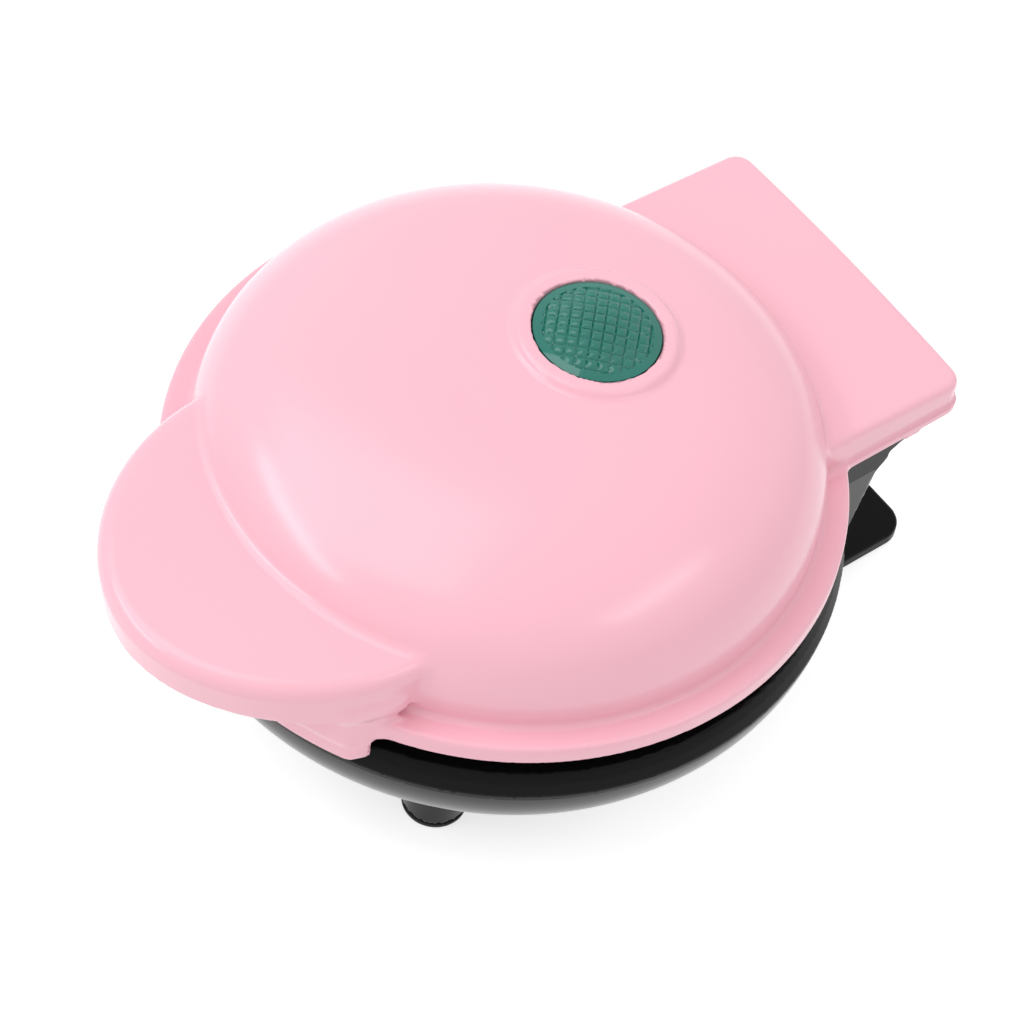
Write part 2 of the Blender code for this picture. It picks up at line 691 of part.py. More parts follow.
def make_lid_cover(look):
    """The pink moulding: dome, flange, handle, skirt and hinge block in one piece."""
    cover = turned("lid_cover", lid_round_profile())
    join(cover, handle_solid(), skirt_solid(), block_solid())
    cut(cover, dome_cavity(), block_cavity(), handle_pockets())
    window = WIRE_WINDOW_WIDTH / 2
    roof = BLOCK_REAR_TOP - BLOCK_WALL - SINK
    cut(cover, box("wire_window", (-window, BLOCK_ROOT, roof - WIRE_WINDOW_HEIGHT),
                   (window, LID_RADIUS + OVERRUN, roof)))
    bosses = []
    holes = [lens_opening()]
    for angle in RIM_SCREW_ANGLES:
        x, y = on_circle(RIM_SCREW_CIRCLE, angle)
        top = LID_FLANGE_BOTTOM + RIM_BOSS_HEIGHT
        bosses.append(rod("rim_boss", RIM_BOSS_RADIUS, LID_FLANGE_BOTTOM + 2 * SINK, top, x, y))
        holes.append(rod("rim_boss_hole", SHANK_HOLE, LID_FLANGE_BOTTOM - OVERRUN, top - SINK, x, y))
    for side in (-1, 1):
        face = side * (HINGE_LUG_OUTER + GAP)
        wall = side * (BLOCK_HALF_WIDTH - BLOCK_WALL / 2)
        blind = side * (HINGE_LUG_OUTER + GAP + HINGE_PIN_ENGAGEMENT + GAP)
        bosses.append(cross_rod("hinge_boss", HINGE_BOSS_RADIUS, *sorted((face, wall)), HINGE_Y, HINGE_Z))
        holes.append(cross_rod("hinge_boss_hole", HINGE_PIN_RADIUS + GAP,
                               *sorted((face - side * OVERRUN, blind)), HINGE_Y, HINGE_Z))
    join(cover, collar_solid(), gather("bosses", bosses))
    cut(cover, gather("holes", holes))
    return dress(cover, look)


def make_indicator_lens(look):
    """Crowned lens with a skirt and an inner flange."""
    crown_radius = (LENS_RADIUS ** 2 + LENS_CROWN ** 2) / (2 * LENS_CROWN)
    reach = asin(LENS_RADIUS / crown_radius)
    inner_reach = asin((LENS_RADIUS - LENS_WALL) / crown_radius)
    centre = LENS_CROWN - crown_radius
    top = arc(0, centre, crown_radius, pi / 2, pi / 2 - reach, CROWN_STEPS)
    under = arc(0, centre - LENS_WALL, crown_radius, pi / 2 - inner_reach, pi / 2, CROWN_STEPS)
    flange_top = -LENS_SKIRT
    flange_bottom = -LENS_SKIRT - LENS_FLANGE_THICKNESS
    profile = top + [(LENS_RADIUS, flange_top), (LENS_FLANGE_RADIUS, flange_top)]
    profile += [(LENS_FLANGE_RADIUS, flange_bottom), (LENS_RADIUS - LENS_WALL, flange_bottom)]
    profile += under
    return dress(transform(turned("indicator_lens", profile, LENS_STEPS), lens_frame()), look)


def make_lens_retainer(look):
    """Cup pushed up the sleeve: it holds the lens from inside and carries the lamp."""
    top = -LENS_SKIRT - LENS_FLANGE_THICKNESS - GAP
    hole = LAMP_RADIUS + GAP
    profile = [(hole, -SLEEVE_DEPTH), (LENS_FLANGE_RADIUS, -SLEEVE_DEPTH), (LENS_FLANGE_RADIUS, top)]
    profile += [(LENS_FLANGE_RADIUS - RETAINER_WALL, top)]
    profile += [(LENS_FLANGE_RADIUS - RETAINER_WALL, -SLEEVE_DEPTH + RETAINER_WALL)]
    profile += [(hole, -SLEEVE_DEPTH + RETAINER_WALL)]
    return dress(transform(turned("lens_retainer", profile, SMALL_STEPS), lens_frame()), look)


def make_indicator_lamp(look):
    """Small glass lamp with a round top, standing in the retainer."""
    low = -LENS_SKIRT / 2 - LENS_WALL - LAMP_LENGTH
    dome = arc(0, low + LAMP_LENGTH - LAMP_RADIUS, LAMP_RADIUS, 0, pi / 2, FILLET_STEPS)
    profile = [(0, low), (LAMP_RADIUS, low)] + dome[:-1] + [(0, low + LAMP_LENGTH)]
    return dress(transform(turned("indicator_lamp", profile, SMALL_STEPS), lens_frame()), look)


# The cooking plates; each is drawn facing up with its rim's face at height zero

def dish_radius_at(depth):
    """Radius of the dish wall at a depth under the rim's face."""
    return DISH_RADIUS - DISH_DRAFT * depth / DISH_DEPTH


def clip_to_circle(outline, radius):
    """Cut a convex outline to a circle, with short chords along the circle."""
    inside = [hypot2(point) <= radius for point in outline]
    if all(inside):
        return outline
    if not any(inside):
        return []
    points = []
    for i, start in enumerate(outline):
        end = outline[(i + 1) % len(outline)]
        ends_inside = inside[(i + 1) % len(outline)]
        if inside[i]:
            points.append(start)
        if inside[i] != ends_inside:
            points.append(circle_crossing(start, end, radius))
    return points


def hypot2(point):
    """Distance of a point from the axis."""
    return sqrt(point[0] ** 2 + point[1] ** 2)


def circle_crossing(start, end, radius):
    """Where a segment from one side of a circle to the other crosses it."""
    dx = end[0] - start[0]
    dy = end[1] - start[1]
    a = dx * dx + dy * dy
    b = start[0] * dx + start[1] * dy
    c = start[0] ** 2 + start[1] ** 2 - radius ** 2
    root = sqrt(b * b - a * c)
    t = (-b - root) / a
    if not 0 <= t <= 1:
        t = (-b + root) / a
    return start[0] + t * dx, start[1] + t * dy


def peg_solid(x, y):
    """One tapered peg of the waffle grid, cut to the dish, or nothing where too little is left."""
    foot = PEG_BASE / 2
    reach = dish_radius_at(DISH_DEPTH) - PEG_EDGE_CLEARANCE
    square = [(x - foot, y - foot), (x + foot, y - foot), (x + foot, y + foot), (x - foot, y + foot)]
    outline = clip_to_circle(square, reach)
    if len(outline) < 3 or outline_area(outline) < PEG_SMALLEST_SHARE * PEG_BASE ** 2:
        return None
    middle = (sum(p[0] for p in outline) / len(outline), sum(p[1] for p in outline) / len(outline))
    loops = []
    for depth, width in ((DISH_DEPTH + SINK, PEG_BASE), (DISH_DEPTH - PEG_HEIGHT, PEG_TOP)):
        share = width / PEG_BASE
        loops.append([(middle[0] + (a - middle[0]) * share, middle[1] + (b - middle[1]) * share, -depth)
                      for a, b in outline])
    return lofted("peg", loops)


def outline_area(outline):
    """Area inside a closed outline."""
    total = 0.0
    for (ax, ay), (bx, by) in zip(outline, outline[1:] + outline[:1]):
        total += ax * by - bx * ay
    return abs(total) / 2


def plate_solid(name, rim_radius, holes):
    """Cast dish with its rim, the peg grid and three posts on the back; holes are cut last."""
    edge = PLATE_EDGE_RADIUS
    back_wall = PLATE_WALL
    profile = [(0, -DISH_DEPTH), (dish_radius_at(DISH_DEPTH), -DISH_DEPTH), (DISH_RADIUS, 0)]
    profile += arc(rim_radius - edge, -edge, edge, pi / 2, 0, 2)
    profile += [(rim_radius, -PLATE_RIM_THICKNESS)]
    profile += [(dish_radius_at(PLATE_RIM_THICKNESS) + back_wall, -PLATE_RIM_THICKNESS)]
    profile += [(dish_radius_at(DISH_DEPTH) + back_wall, -DISH_DEPTH)]
    profile += [(dish_radius_at(DISH_DEPTH) + back_wall / 2, -PLATE_BACK), (0, -PLATE_BACK)]
    plate = turned(name, profile, PLATE_STEPS)
    count = ceil(DISH_RADIUS / PEG_PITCH)
    pegs = [peg_solid((column + 0.5) * PEG_PITCH, (row + 0.5) * PEG_PITCH)
            for row in range(-count, count) for column in range(-count, count)]
    posts = []
    for angle in POST_ANGLES:
        x, y = on_circle(POST_CIRCLE, angle)
        posts.append(rod("post", POST_RADIUS, -POST_END, -PLATE_BACK + SINK, x, y))
        holes.append(rod("post_hole", SHANK_HOLE, -POST_END - OVERRUN, -PLATE_BACK - SINK, x, y))
    join(plate, gather("pegs", [peg for peg in pegs if peg]), gather("posts", posts))
    return cut(plate, gather("plate_holes", holes))


def facing(obj, up, level):
    """Set a plate-side piece at its level, upside down for the lid."""
    if not up:
        transform(obj, Matrix.Diagonal((1, 1, -1, 1)))
    return move(obj, (0, 0, level))


def make_lower_plate(look):
    """Plate in the base, with its posts down into the bowl."""
    return dress(facing(plate_solid("lower_plate", LOWER_PLATE_RADIUS, []), True, LOWER_FACE), look)


def make_upper_plate(look):
    """Plate in the lid, with countersunk rim holes and two small holes for the thermostat."""
    holes = []
    wide = SCREW_HEAD_RADIUS + 2 * GAP
    for angle in RIM_SCREW_ANGLES:
        x, y = on_circle(RIM_SCREW_CIRCLE, angle)
        holes.append(stepped_hole("rim_hole", SHANK_HOLE, -PLATE_RIM_THICKNESS - OVERRUN,
                                  SHANK_HOLE - wide - GAP, wide, OVERRUN, x, y, cone_z=-GAP))
    for side in (-1, 1):
        holes.append(rod("thermostat_hole", SHANK_HOLE, -PLATE_BACK - OVERRUN,
                         -PLATE_BACK + THERMOSTAT_SCREW_DEPTH + GAP, side * THERMOSTAT_SCREW_X, 0))
    return dress(facing(plate_solid("upper_plate", PLATE_RADIUS, holes), False, UPPER_FACE), look)


def make_element(name, up, look):
    """Open ring of heating tube on the plate's back, its ends bent away as far as the terminals."""
    level = -PLATE_BACK - GAP - ELEMENT_RADIUS
    half = pi - ELEMENT_END_ANGLE
    points = []
    for x, y in arc(0, 0, ELEMENT_CIRCLE, pi / 2 + ELEMENT_END_ANGLE,
                    pi / 2 + ELEMENT_END_ANGLE + 2 * half, ELEMENT_STEPS):
        points.append((x, y, level))
    first = bent_end(points[0], level)
    last = bent_end(points[-1], level)
    path = first[::-1] + points[1:-1] + last
    sign = 1 if up else -1
    face = LOWER_FACE if up else UPPER_FACE
    return dress(tube(name, [(x, y, face + sign * z) for x, y, z in path], ELEMENT_RADIUS), look)


def bent_end(start, level):
    """Quarter bend and straight end of an element, away from the plate."""
    x, y = start[:2]
    side = 1 if x > 0 else -1
    points = []
    for along, drop in arc(0, -ELEMENT_BEND, ELEMENT_BEND, pi / 2, 0, FILLET_STEPS):
        points.append((x - side * along, y, level + drop))
    end = (x - side * ELEMENT_BEND, y, -ELEMENT_END)
    return points + [end]


def make_shield(name, up, look):
    """Pressed steel pan under the element, with holes for posts, ends and the thermostat."""
    radius = SHIELD_RADIUS
    skin = SHIELD_THICKNESS
    hole = SHIELD_CENTRE_HOLE
    profile = [(hole, -SHIELD_FAR), (radius - skin, -SHIELD_FAR), (radius, -SHIELD_FAR + skin)]
    profile += [(radius, -SHIELD_FAR + SHIELD_LIP), (radius - skin, -SHIELD_FAR + SHIELD_LIP)]
    profile += [(radius - skin, -SHIELD_NEAR), (hole, -SHIELD_NEAR)]
    pan = turned(name, profile, SHIELD_STEPS)
    low = -SHIELD_FAR - OVERRUN
    high = -SHIELD_NEAR + OVERRUN
    y = ELEMENT_CIRCLE * cos(ELEMENT_END_ANGLE)
    holes = [rod("end_hole", SHIELD_END_HOLE, low, high, side * ELEMENT_END_X, y) for side in (-1, 1)]
    for angle in POST_ANGLES:
        holes.append(rod("post_hole", SHANK_HOLE, low, high, *on_circle(POST_CIRCLE, angle)))
    cut(pan, gather("pan_holes", holes))
    return dress(facing(pan, up, LOWER_FACE if up else UPPER_FACE), look)


# The base

def bowl_profile():
    """Outer half section of the bowl, from the floor's middle up to the mouth."""
    profile = [(0, BOWL_FLOOR_Z)]
    profile += arc(BOWL_ARC_CENTRE, BOWL_ARC_Z, BOWL_ARC_RADIUS, -pi / 2, -BOWL_START_SLOPE, BOWL_STEPS)
    profile += [(BOWL_RADIUS, BOWL_SHOULDER_Z), (BOWL_BAND_RADIUS, BOWL_BAND_Z)]
    profile += [(BOWL_LIP_RADIUS, BASE_RIM_TOP)]
    return profile


def bowl_cavity():
    """Hollow of the bowl under its mouth."""
    inner = BOWL_ARC_RADIUS - BOWL_WALL
    curve = arc(BOWL_ARC_CENTRE, BOWL_ARC_Z, inner, -pi / 2, -BOWL_START_SLOPE, INNER_STEPS)
    under = BASE_RIM_TOP - BOWL_WALL
    profile = [(0, BOWL_FLOOR_Z + BOWL_WALL)] + curve
    profile += [(curve[-1][0], under - BOWL_WALL), (BOWL_MOUTH_RADIUS, under)]
    profile += [(BOWL_MOUTH_RADIUS, BASE_RIM_TOP + OVERRUN), (0, BASE_RIM_TOP + OVERRUN)]
    return turned("bowl_cavity", profile)


def neck_rear_outline():
    """Rear of the neck from its foot up: fillet, wall, and the sweep out under the block."""
    foot = NECK_FOOT_FILLET
    line = arc(NECK_FOOT_REAR + foot, NECK_FOOT_Z + foot, foot, -pi / 2, -pi, FILLET_STEPS)
    centre_y = NECK_REAR + NECK_SWEEP_RADIUS
    centre_z = NECK_TOP - NECK_TIP - NECK_SWEEP_RADIUS
    line += arc(centre_y, centre_z, NECK_SWEEP_RADIUS, pi, radians(98), SWEEP_STEPS)
    tip = line[-1]
    line += [(tip[0] + NECK_TIP * 0.6, tip[1] + NECK_TIP * 0.4)]
    line += [(tip[0] + NECK_TIP, NECK_TOP)]
    return line


def neck_solid():
    """Neck behind the bowl, a little narrower at its foot."""
    outline = [(NECK_FRONT, NECK_FOOT_Z)] + neck_rear_outline() + [(NECK_FRONT, NECK_TOP)]
    neck = extruded("neck", outline, -NECK_HALF_WIDTH, NECK_HALF_WIDTH, axis="X")
    for vert in neck.data.vertices:
        share = (NECK_TOP - vert.co.z) / (NECK_TOP - NECK_FOOT_Z)
        vert.co.x *= 1 - share * NECK_TAPER / NECK_HALF_WIDTH
    clear = rod("plate_clearance", BOWL_LIP_RADIUS - OVERRUN, BASE_RIM_TOP - SINK, NECK_TOP + OVERRUN,
                steps=ROUND_STEPS)
    return cut(neck, clear)


def neck_cavity():
    """Hollow of the neck, open below, with a slot in its top for the lead."""
    half = NECK_HALF_WIDTH - NECK_TAPER - NECK_WALL
    front = NECK_FRONT + NECK_WALL
    rear = NECK_FOOT_REAR - NECK_WALL
    hollow = box("neck_cavity", (-half, front, NECK_FOOT_Z - OVERRUN),
                 (half, rear, BASE_RIM_TOP - BOWL_WALL - SINK))
    slot_half = WIRE_WINDOW_WIDTH / 2
    step = NECK_WALL
    low = BASE_RIM_TOP - 2 * BOWL_WALL
    outline = [(rear - step, low), (rear + step / 2, low), (NECK_REAR + step, NECK_TOP - NECK_TIP)]
    outline += [(NECK_REAR + 2 * step, NECK_TOP - step / 2), (NECK_REAR + 2 * step, NECK_TOP + OVERRUN)]
    outline += [(LID_RADIUS, NECK_TOP + OVERRUN), (rear - step, BASE_RIM_TOP - BOWL_WALL - 2 * SINK)]
    slot = extruded("lead_slot", outline, -slot_half, slot_half, axis="X")
    return hollow, slot


def hinge_lug(side):
    """Ear that stands up from the neck's top and carries one hinge pin."""
    sink = NECK_TOP - SINK
    outline = [(HINGE_Y + HINGE_LUG_RADIUS / 2, sink)]
    outline += arc(HINGE_Y, HINGE_Z, HINGE_LUG_RADIUS, 0, pi, 2 * FILLET_STEPS)
    outline += [(HINGE_Y - HINGE_LUG_RADIUS, sink)]
    low, high = sorted((side * HINGE_LUG_INNER, side * HINGE_LUG_OUTER))
    return extruded("hinge_lug", outline, low, high, axis="X")


def foot_place(index):
    """Where a foot stands."""
    sides = FOOT_SIDES[index]
    x, y = on_circle(FOOT_CIRCLE, FOOT_ANGLE)
    return sides[0] * x, sides[1] * y


def make_base_shell(look):
    """The black moulding: bowl, neck, hinge lugs, foot posts and screw bosses."""
    shell = turned("base_shell", bowl_profile() + [(0, BASE_RIM_TOP)])
    high = BOWL_FLOOR_Z + 3 * BOWL_WALL
    feet = [foot_place(index) for index in range(len(FOOT_SIDES))]
    posts = [cone("foot_post", FOOT_RADIUS - FOOT_TAPER, FOOT_RADIUS, FOOT_POST_BOTTOM, high, x, y,
                  SMALL_STEPS + FILLET_STEPS) for x, y in feet]
    join(shell, neck_solid(), gather("foot_posts", posts))
    hollow, slot = neck_cavity()
    cut(shell, bowl_cavity(), hollow, slot)
    bosses, boss_holes = bowl_bosses()
    webs, neck_posts, neck_holes = neck_bosses()
    join(shell, gather("bosses", bosses), gather("webs", webs), gather("neck_posts", neck_posts),
         gather("lugs", [hinge_lug(-1), hinge_lug(1)]))
    sockets = [rod("pad_socket", PAD_STUD_RADIUS + GAP, FOOT_POST_BOTTOM - OVERRUN,
                   FOOT_POST_BOTTOM + PAD_STUD_DEPTH + GAP, x, y) for x, y in feet]
    bore = cross_rod("pin_bore", HINGE_PIN_RADIUS + GAP, -HINGE_LUG_OUTER - OVERRUN,
                     HINGE_LUG_OUTER + OVERRUN, HINGE_Y, HINGE_Z)
    gland_hole = rod("gland_hole", GLAND_RADIUS + GAP, -NECK_REAR - OVERRUN,
                     -NECK_FRONT - NECK_WALL - OVERRUN)
    transform(gland_hole, Matrix.Rotation(pi / 2, 4, "X"))
    move(gland_hole, (0, 0, GLAND_Z))
    cut(shell, gather("base_holes", boss_holes + neck_holes + sockets + [bore, gland_hole]))
    return dress(shell, look)


def bowl_bosses():
    """Bosses for the plate's screws, with their counterbored holes and the terminal block's hole."""
    top = LOWER_FACE - SHIELD_FAR - GAP
    bosses = []
    holes = [rod("terminal_hole", SHANK_HOLE, BOWL_FLOOR_Z + SINK, BOWL_FLOOR_Z + 2 * BOWL_WALL,
                 0, TERMINAL_Y)]
    for angle in POST_ANGLES:
        x, y = on_circle(POST_CIRCLE, angle)
        bosses.append(rod("boss", BOWL_BOSS_RADIUS, BOWL_FLOOR_Z + BOWL_WALL, top, x, y))
        bore = stepped_hole("boss_hole", SHANK_HOLE, -top - OVERRUN, -counterbore_top(),
                            SCREW_HEAD_RADIUS + GAP, -BOWL_FLOOR_Z + OVERRUN, x, y)
        holes.append(transform(bore, Matrix.Diagonal((1, 1, -1, 1))))
    return bosses, holes


def counterbore_top():
    """Level of the shoulder that a plate screw's head meets."""
    return LOWER_FACE - SHIELD_FAR - GAP - 2 * BOWL_WALL


def neck_bosses():
    """Two bosses inside the neck, each on a web from the rear wall, for the stand plate's screws."""
    top = NECK_FOOT_Z + NECK_BOSS_HEIGHT
    webs, posts, holes = [], [], []
    for side in (-1, 1):
        x = side * NECK_SCREW_X
        webs.append(box("boss_web", (x - NECK_WALL / 2, NECK_SCREW_Y, NECK_FOOT_Z + SINK),
                        (x + NECK_WALL / 2, NECK_FOOT_REAR - NECK_WALL / 2, top - SINK)))
        posts.append(rod("neck_boss", NECK_BOSS_RADIUS, NECK_FOOT_Z, top, x, NECK_SCREW_Y))
        holes.append(rod("neck_boss_hole", SHANK_HOLE, NECK_FOOT_Z - OVERRUN, top - BOWL_WALL, x,
                         NECK_SCREW_Y))
    return webs, posts, holes


def make_stand_plate(look):
    """Plate under the neck: it closes the neck and keeps a wound cord from slipping off."""
    half = STAND_HALF_WIDTH
    corner = STAND_CORNER_RADIUS
    edge = STAND_EDGE_RADIUS

    def outline(inset):
        radius = corner - inset
        points = [(-half + inset, STAND_FRONT + inset), (half - inset, STAND_FRONT + inset)]
        points += arc(half - corner, STAND_REAR - corner, radius, 0, pi / 2, FILLET_STEPS + 1)
        points += arc(-half + corner, STAND_REAR - corner, radius, pi / 2, pi, FILLET_STEPS + 1)
        return points

    levels = [(edge, STAND_BOTTOM), (0.0, STAND_BOTTOM + edge), (0.0, STAND_TOP - edge), (edge, STAND_TOP)]
    plate = lofted("rear_stand_plate", [[(x, y, z) for x, y in outline(inset)] for inset, z in levels])
    for side in (-1, 1):
        x = side * NECK_SCREW_X
        hole = stepped_hole("screw_hole", SHANK_HOLE, -STAND_TOP - OVERRUN, -STAND_BOTTOM - SCREW_HEAD - GAP,
                            SCREW_HEAD_RADIUS + GAP, 0, x, NECK_SCREW_Y)
        cut(plate, transform(hole, Matrix.Diagonal((1, 1, -1, 1))))
    return dress(plate, look)


def make_foot_pad(index, look):
    """Rubber pad with a stud that plugs into the foot."""
    edge = PAD_EDGE_RADIUS
    top = FOOT_POST_BOTTOM - GAP
    profile = [(0, 0)] + arc(PAD_RADIUS - edge, edge, edge, -pi / 2, 0, 2) + [(PAD_RADIUS, top)]
    profile += [(PAD_STUD_RADIUS, top), (PAD_STUD_RADIUS, FOOT_POST_BOTTOM + PAD_STUD_DEPTH)]
    profile += [(0, FOOT_POST_BOTTOM + PAD_STUD_DEPTH)]
    pad = turned("foot_pad_%d" % (index + 1), profile, SMALL_STEPS)
    x, y = foot_place(index)
    return dress(move(pad, (x, y, 0)), look)


def make_hinge_pin(name, side, look):
    """Headed steel pin from the lug out into the lid's boss."""
    inner = HINGE_LUG_INNER - GAP
    outer = HINGE_LUG_OUTER + GAP + HINGE_PIN_ENGAGEMENT
    profile = [(0, inner - HINGE_PIN_HEAD), (HINGE_PIN_HEAD_RADIUS, inner - HINGE_PIN_HEAD)]
    profile += [(HINGE_PIN_HEAD_RADIUS, inner), (HINGE_PIN_RADIUS, inner)]
    profile += [(HINGE_PIN_RADIUS, outer), (0, outer)]
    pin = turned(name, profile, SMALL_STEPS)
    transform(pin, Matrix.Rotation(side * pi / 2, 4, "Y"))
    return dress(move(pin, (0, HINGE_Y, HINGE_Z)), look)


def make_cord_gland(look):
    """Bush snapped into the neck's rear wall, empty here, for the supply cord."""
    wall_in = NECK_FOOT_REAR - NECK_WALL
    wall_out = NECK_REAR
    bore = GLAND_BORE
    start = wall_in - GLAND_GROOVE_LENGTH
    profile = [(bore, start), (GLAND_RADIUS, start), (GLAND_RADIUS, wall_out + GAP)]
    profile += [(GLAND_FLANGE_RADIUS, wall_out + GAP), (GLAND_FLANGE_RADIUS, wall_out + GLAND_FLANGE)]
    profile += [(GLAND_NOSE_RADIUS, wall_out + GLAND_FLANGE)]
    profile += [(GLAND_NOSE_RADIUS - GLAND_GROOVE_LENGTH / 4, wall_out + GLAND_FLANGE + GLAND_NOSE)]
    profile += [(bore, wall_out + GLAND_FLANGE + GLAND_NOSE)]
    bush = turned("cord_gland", profile, SMALL_STEPS)
    transform(bush, Matrix.Rotation(-pi / 2, 4, "X"))
    return dress(move(bush, (0, 0, GLAND_Z)), look)


# Screws: drawn head up at their own head's underside, then turned as needed

def make_screw(name, place, length, up, look, countersunk=False, slotted=True):
    """Screw with its head's underside at place, its shank pointing up or down."""
    head = SCREW_HEAD_RADIUS
    if countersunk:
        profile = [(0, 0), (head, 0), (SCREW_RADIUS, -(head - SCREW_RADIUS))]
        top = 0.0
    else:
        profile = [(0, SCREW_HEAD), (head * 0.75, SCREW_HEAD), (head, SCREW_HEAD * 0.55), (head, 0)]
        profile += [(SCREW_RADIUS, 0)]
        top = SCREW_HEAD
    profile += [(SCREW_RADIUS, -length + SCREW_RADIUS * 0.5), (SCREW_RADIUS * 0.5, -length), (0, -length)]
    screw = turned(name, profile, SCREW_STEPS)
    if slotted:
        slot = SCREW_HEAD * 0.16
        reach = head * 0.58
        cut(screw, box("slot", (-reach, -slot, top - SCREW_HEAD * 0.4), (reach, slot, top + OVERRUN)))
    if up:
        transform(screw, Matrix.Rotation(pi, 4, "X"))
    return dress(move(screw, place), look)


def make_screws(look):
    """Every screw of the product, each at the hole that it goes through."""
    pieces = []
    for number, angle in enumerate(RIM_SCREW_ANGLES, 1):
        x, y = on_circle(RIM_SCREW_CIRCLE, angle)
        pieces.append(make_screw("upper_plate_screw_%d" % number, (x, y, UPPER_FACE + GAP),
                                 RIM_SCREW_LENGTH, True, look, countersunk=True))
    for number, angle in enumerate(POST_ANGLES, 1):
        x, y = on_circle(POST_CIRCLE, angle)
        length = SHIELD_THICKNESS + POST_SCREW_DEPTH
        pieces.append(make_screw("shield_screw_%d" % number, (x, y, UPPER_FACE + SHIELD_FAR + GAP),
                                 length, False, look, slotted=False))
    for number, side in enumerate((1, -1), 1):
        pieces.append(make_screw("thermostat_screw_%d" % number, thermostat_screw_place(side),
                                 thermostat_screw_length(), False, look, slotted=False))
    return pieces


def make_base_screws(look):
    """The screws that are driven from below the base, and the terminal block's own."""
    pieces = []
    for number, angle in enumerate(POST_ANGLES, 1):
        x, y = on_circle(POST_CIRCLE, angle)
        length = LOWER_FACE - SHIELD_NEAR + POST_SCREW_DEPTH - counterbore_top()
        pieces.append(make_screw("lower_plate_screw_%d" % number, (x, y, counterbore_top() - GAP),
                                 length, True, look))
    for number, side in enumerate((1, -1), 1):
        place = (side * NECK_SCREW_X, NECK_SCREW_Y, STAND_BOTTOM + SCREW_HEAD)
        length = STAND_THICKNESS - SCREW_HEAD + NECK_BOSS_HEIGHT * 0.7
        pieces.append(make_screw("stand_plate_screw_%d" % number, place, length, True, look))
    place = (0, TERMINAL_Y, TERMINAL_TOP + GAP)
    length = TERMINAL_HEIGHT + BOWL_WALL / 2
    pieces.append(make_screw("terminal_block_screw", place, length, False, look, slotted=False))
    return pieces


# Thermostat, fuse, terminals and leads

def thermostat_base():
    """Level of the upper plate's back."""
    return UPPER_FACE + PLATE_BACK


def thermostat_screw_place(side):
    """Underside of a thermostat screw's head."""
    return (side * THERMOSTAT_SCREW_X, 0, thermostat_base() + 2 * GAP + THERMOSTAT_EAR_THICKNESS)


def thermostat_screw_length():
    """Shank through the ear and into the plate."""
    return GAP + THERMOSTAT_EAR_THICKNESS + THERMOSTAT_SCREW_DEPTH


def make_thermostat(look):
    """Round thermostat on a two-eared foot."""
    low = thermostat_base() + GAP
    half = THERMOSTAT_EAR_LENGTH / 2
    wide = THERMOSTAT_EAR_WIDTH / 2
    outline = [(-half + wide, -wide), (half - wide, -wide)]
    outline += arc(half - wide, 0, wide, -pi / 2, pi / 2, FILLET_STEPS)[1:-1]
    outline += [(half - wide, wide), (-half + wide, wide)]
    outline += arc(-half + wide, 0, wide, pi / 2, 3 * pi / 2, FILLET_STEPS)[1:-1]
    ears = extruded("thermostat", outline, low, low + THERMOSTAT_EAR_THICKNESS)
    body = THERMOSTAT_RADIUS
    top = low + THERMOSTAT_HEIGHT
    step = THERMOSTAT_EAR_THICKNESS
    cap = THERMOSTAT_CAP_RADIUS
    profile = [(0, low), (body, low), (body, top - step), (body - step, top)]
    profile += [(cap, top), (cap, top + THERMOSTAT_CAP), (0, top + THERMOSTAT_CAP)]
    join(ears, move(turned("body", profile, SMALL_STEPS + 2 * FILLET_STEPS), (0, 0, SINK / 4)))
    for side in (-1, 1):
        cut(ears, rod("ear_hole", SHANK_HOLE, low - OVERRUN, low + 2 * step, side * THERMOSTAT_SCREW_X, 0))
    return dress(ears, look)


def fuse_level():
    """Top face of the upper shield."""
    return UPPER_FACE + SHIELD_FAR


def make_thermal_fuse(look):
    """Small metal barrel with a wire stub at each end."""
    level = fuse_level() + CLIP_THICKNESS + GAP + FUSE_RADIUS
    stub = FUSE_RADIUS * 0.3
    half = FUSE_LENGTH / 2
    end = half + FUSE_RADIUS * 2
    profile = [(0, -end), (stub, -end), (stub, -half), (FUSE_RADIUS, -half)]
    profile += [(FUSE_RADIUS, half), (stub, half), (stub, end), (0, end)]
    barrel = turned("thermal_fuse", profile, SMALL_STEPS)
    transform(barrel, Matrix.Rotation(pi / 2, 4, "X"))
    return dress(move(barrel, (FUSE_X, FUSE_Y, level)), look)


def make_fuse_clip(look):
    """Bent strip over the fuse with two feet on the shield."""
    inner = FUSE_RADIUS + GAP
    outer = inner + CLIP_THICKNESS
    low = fuse_level() + GAP
    level = fuse_level() + CLIP_THICKNESS + GAP + FUSE_RADIUS
    outline = [(-outer - CLIP_FOOT, low), (-inner, low)]
    outline += arc(0, level, inner, pi, 0, 2 * FILLET_STEPS)
    outline += [(inner, low), (outer + CLIP_FOOT, low), (outer + CLIP_FOOT, low + CLIP_THICKNESS)]
    outline += [(outer, low + CLIP_THICKNESS)]
    outline += arc(0, level, outer, 0, pi, 2 * FILLET_STEPS)
    outline += [(-outer, low + CLIP_THICKNESS), (-outer - CLIP_FOOT, low + CLIP_THICKNESS)]
    bm = bmesh.new()
    face = bm.faces.new([bm.verts.new((FUSE_X + a, FUSE_Y - CLIP_WIDTH / 2, z)) for a, z in outline])
    grown = bmesh.ops.extrude_face_region(bm, geom=[face])
    moved = [item for item in grown["geom"] if isinstance(item, bmesh.types.BMVert)]
    bmesh.ops.translate(bm, verts=moved, vec=(0, CLIP_WIDTH, 0))
    return dress(solid("fuse_clip", bm), look)


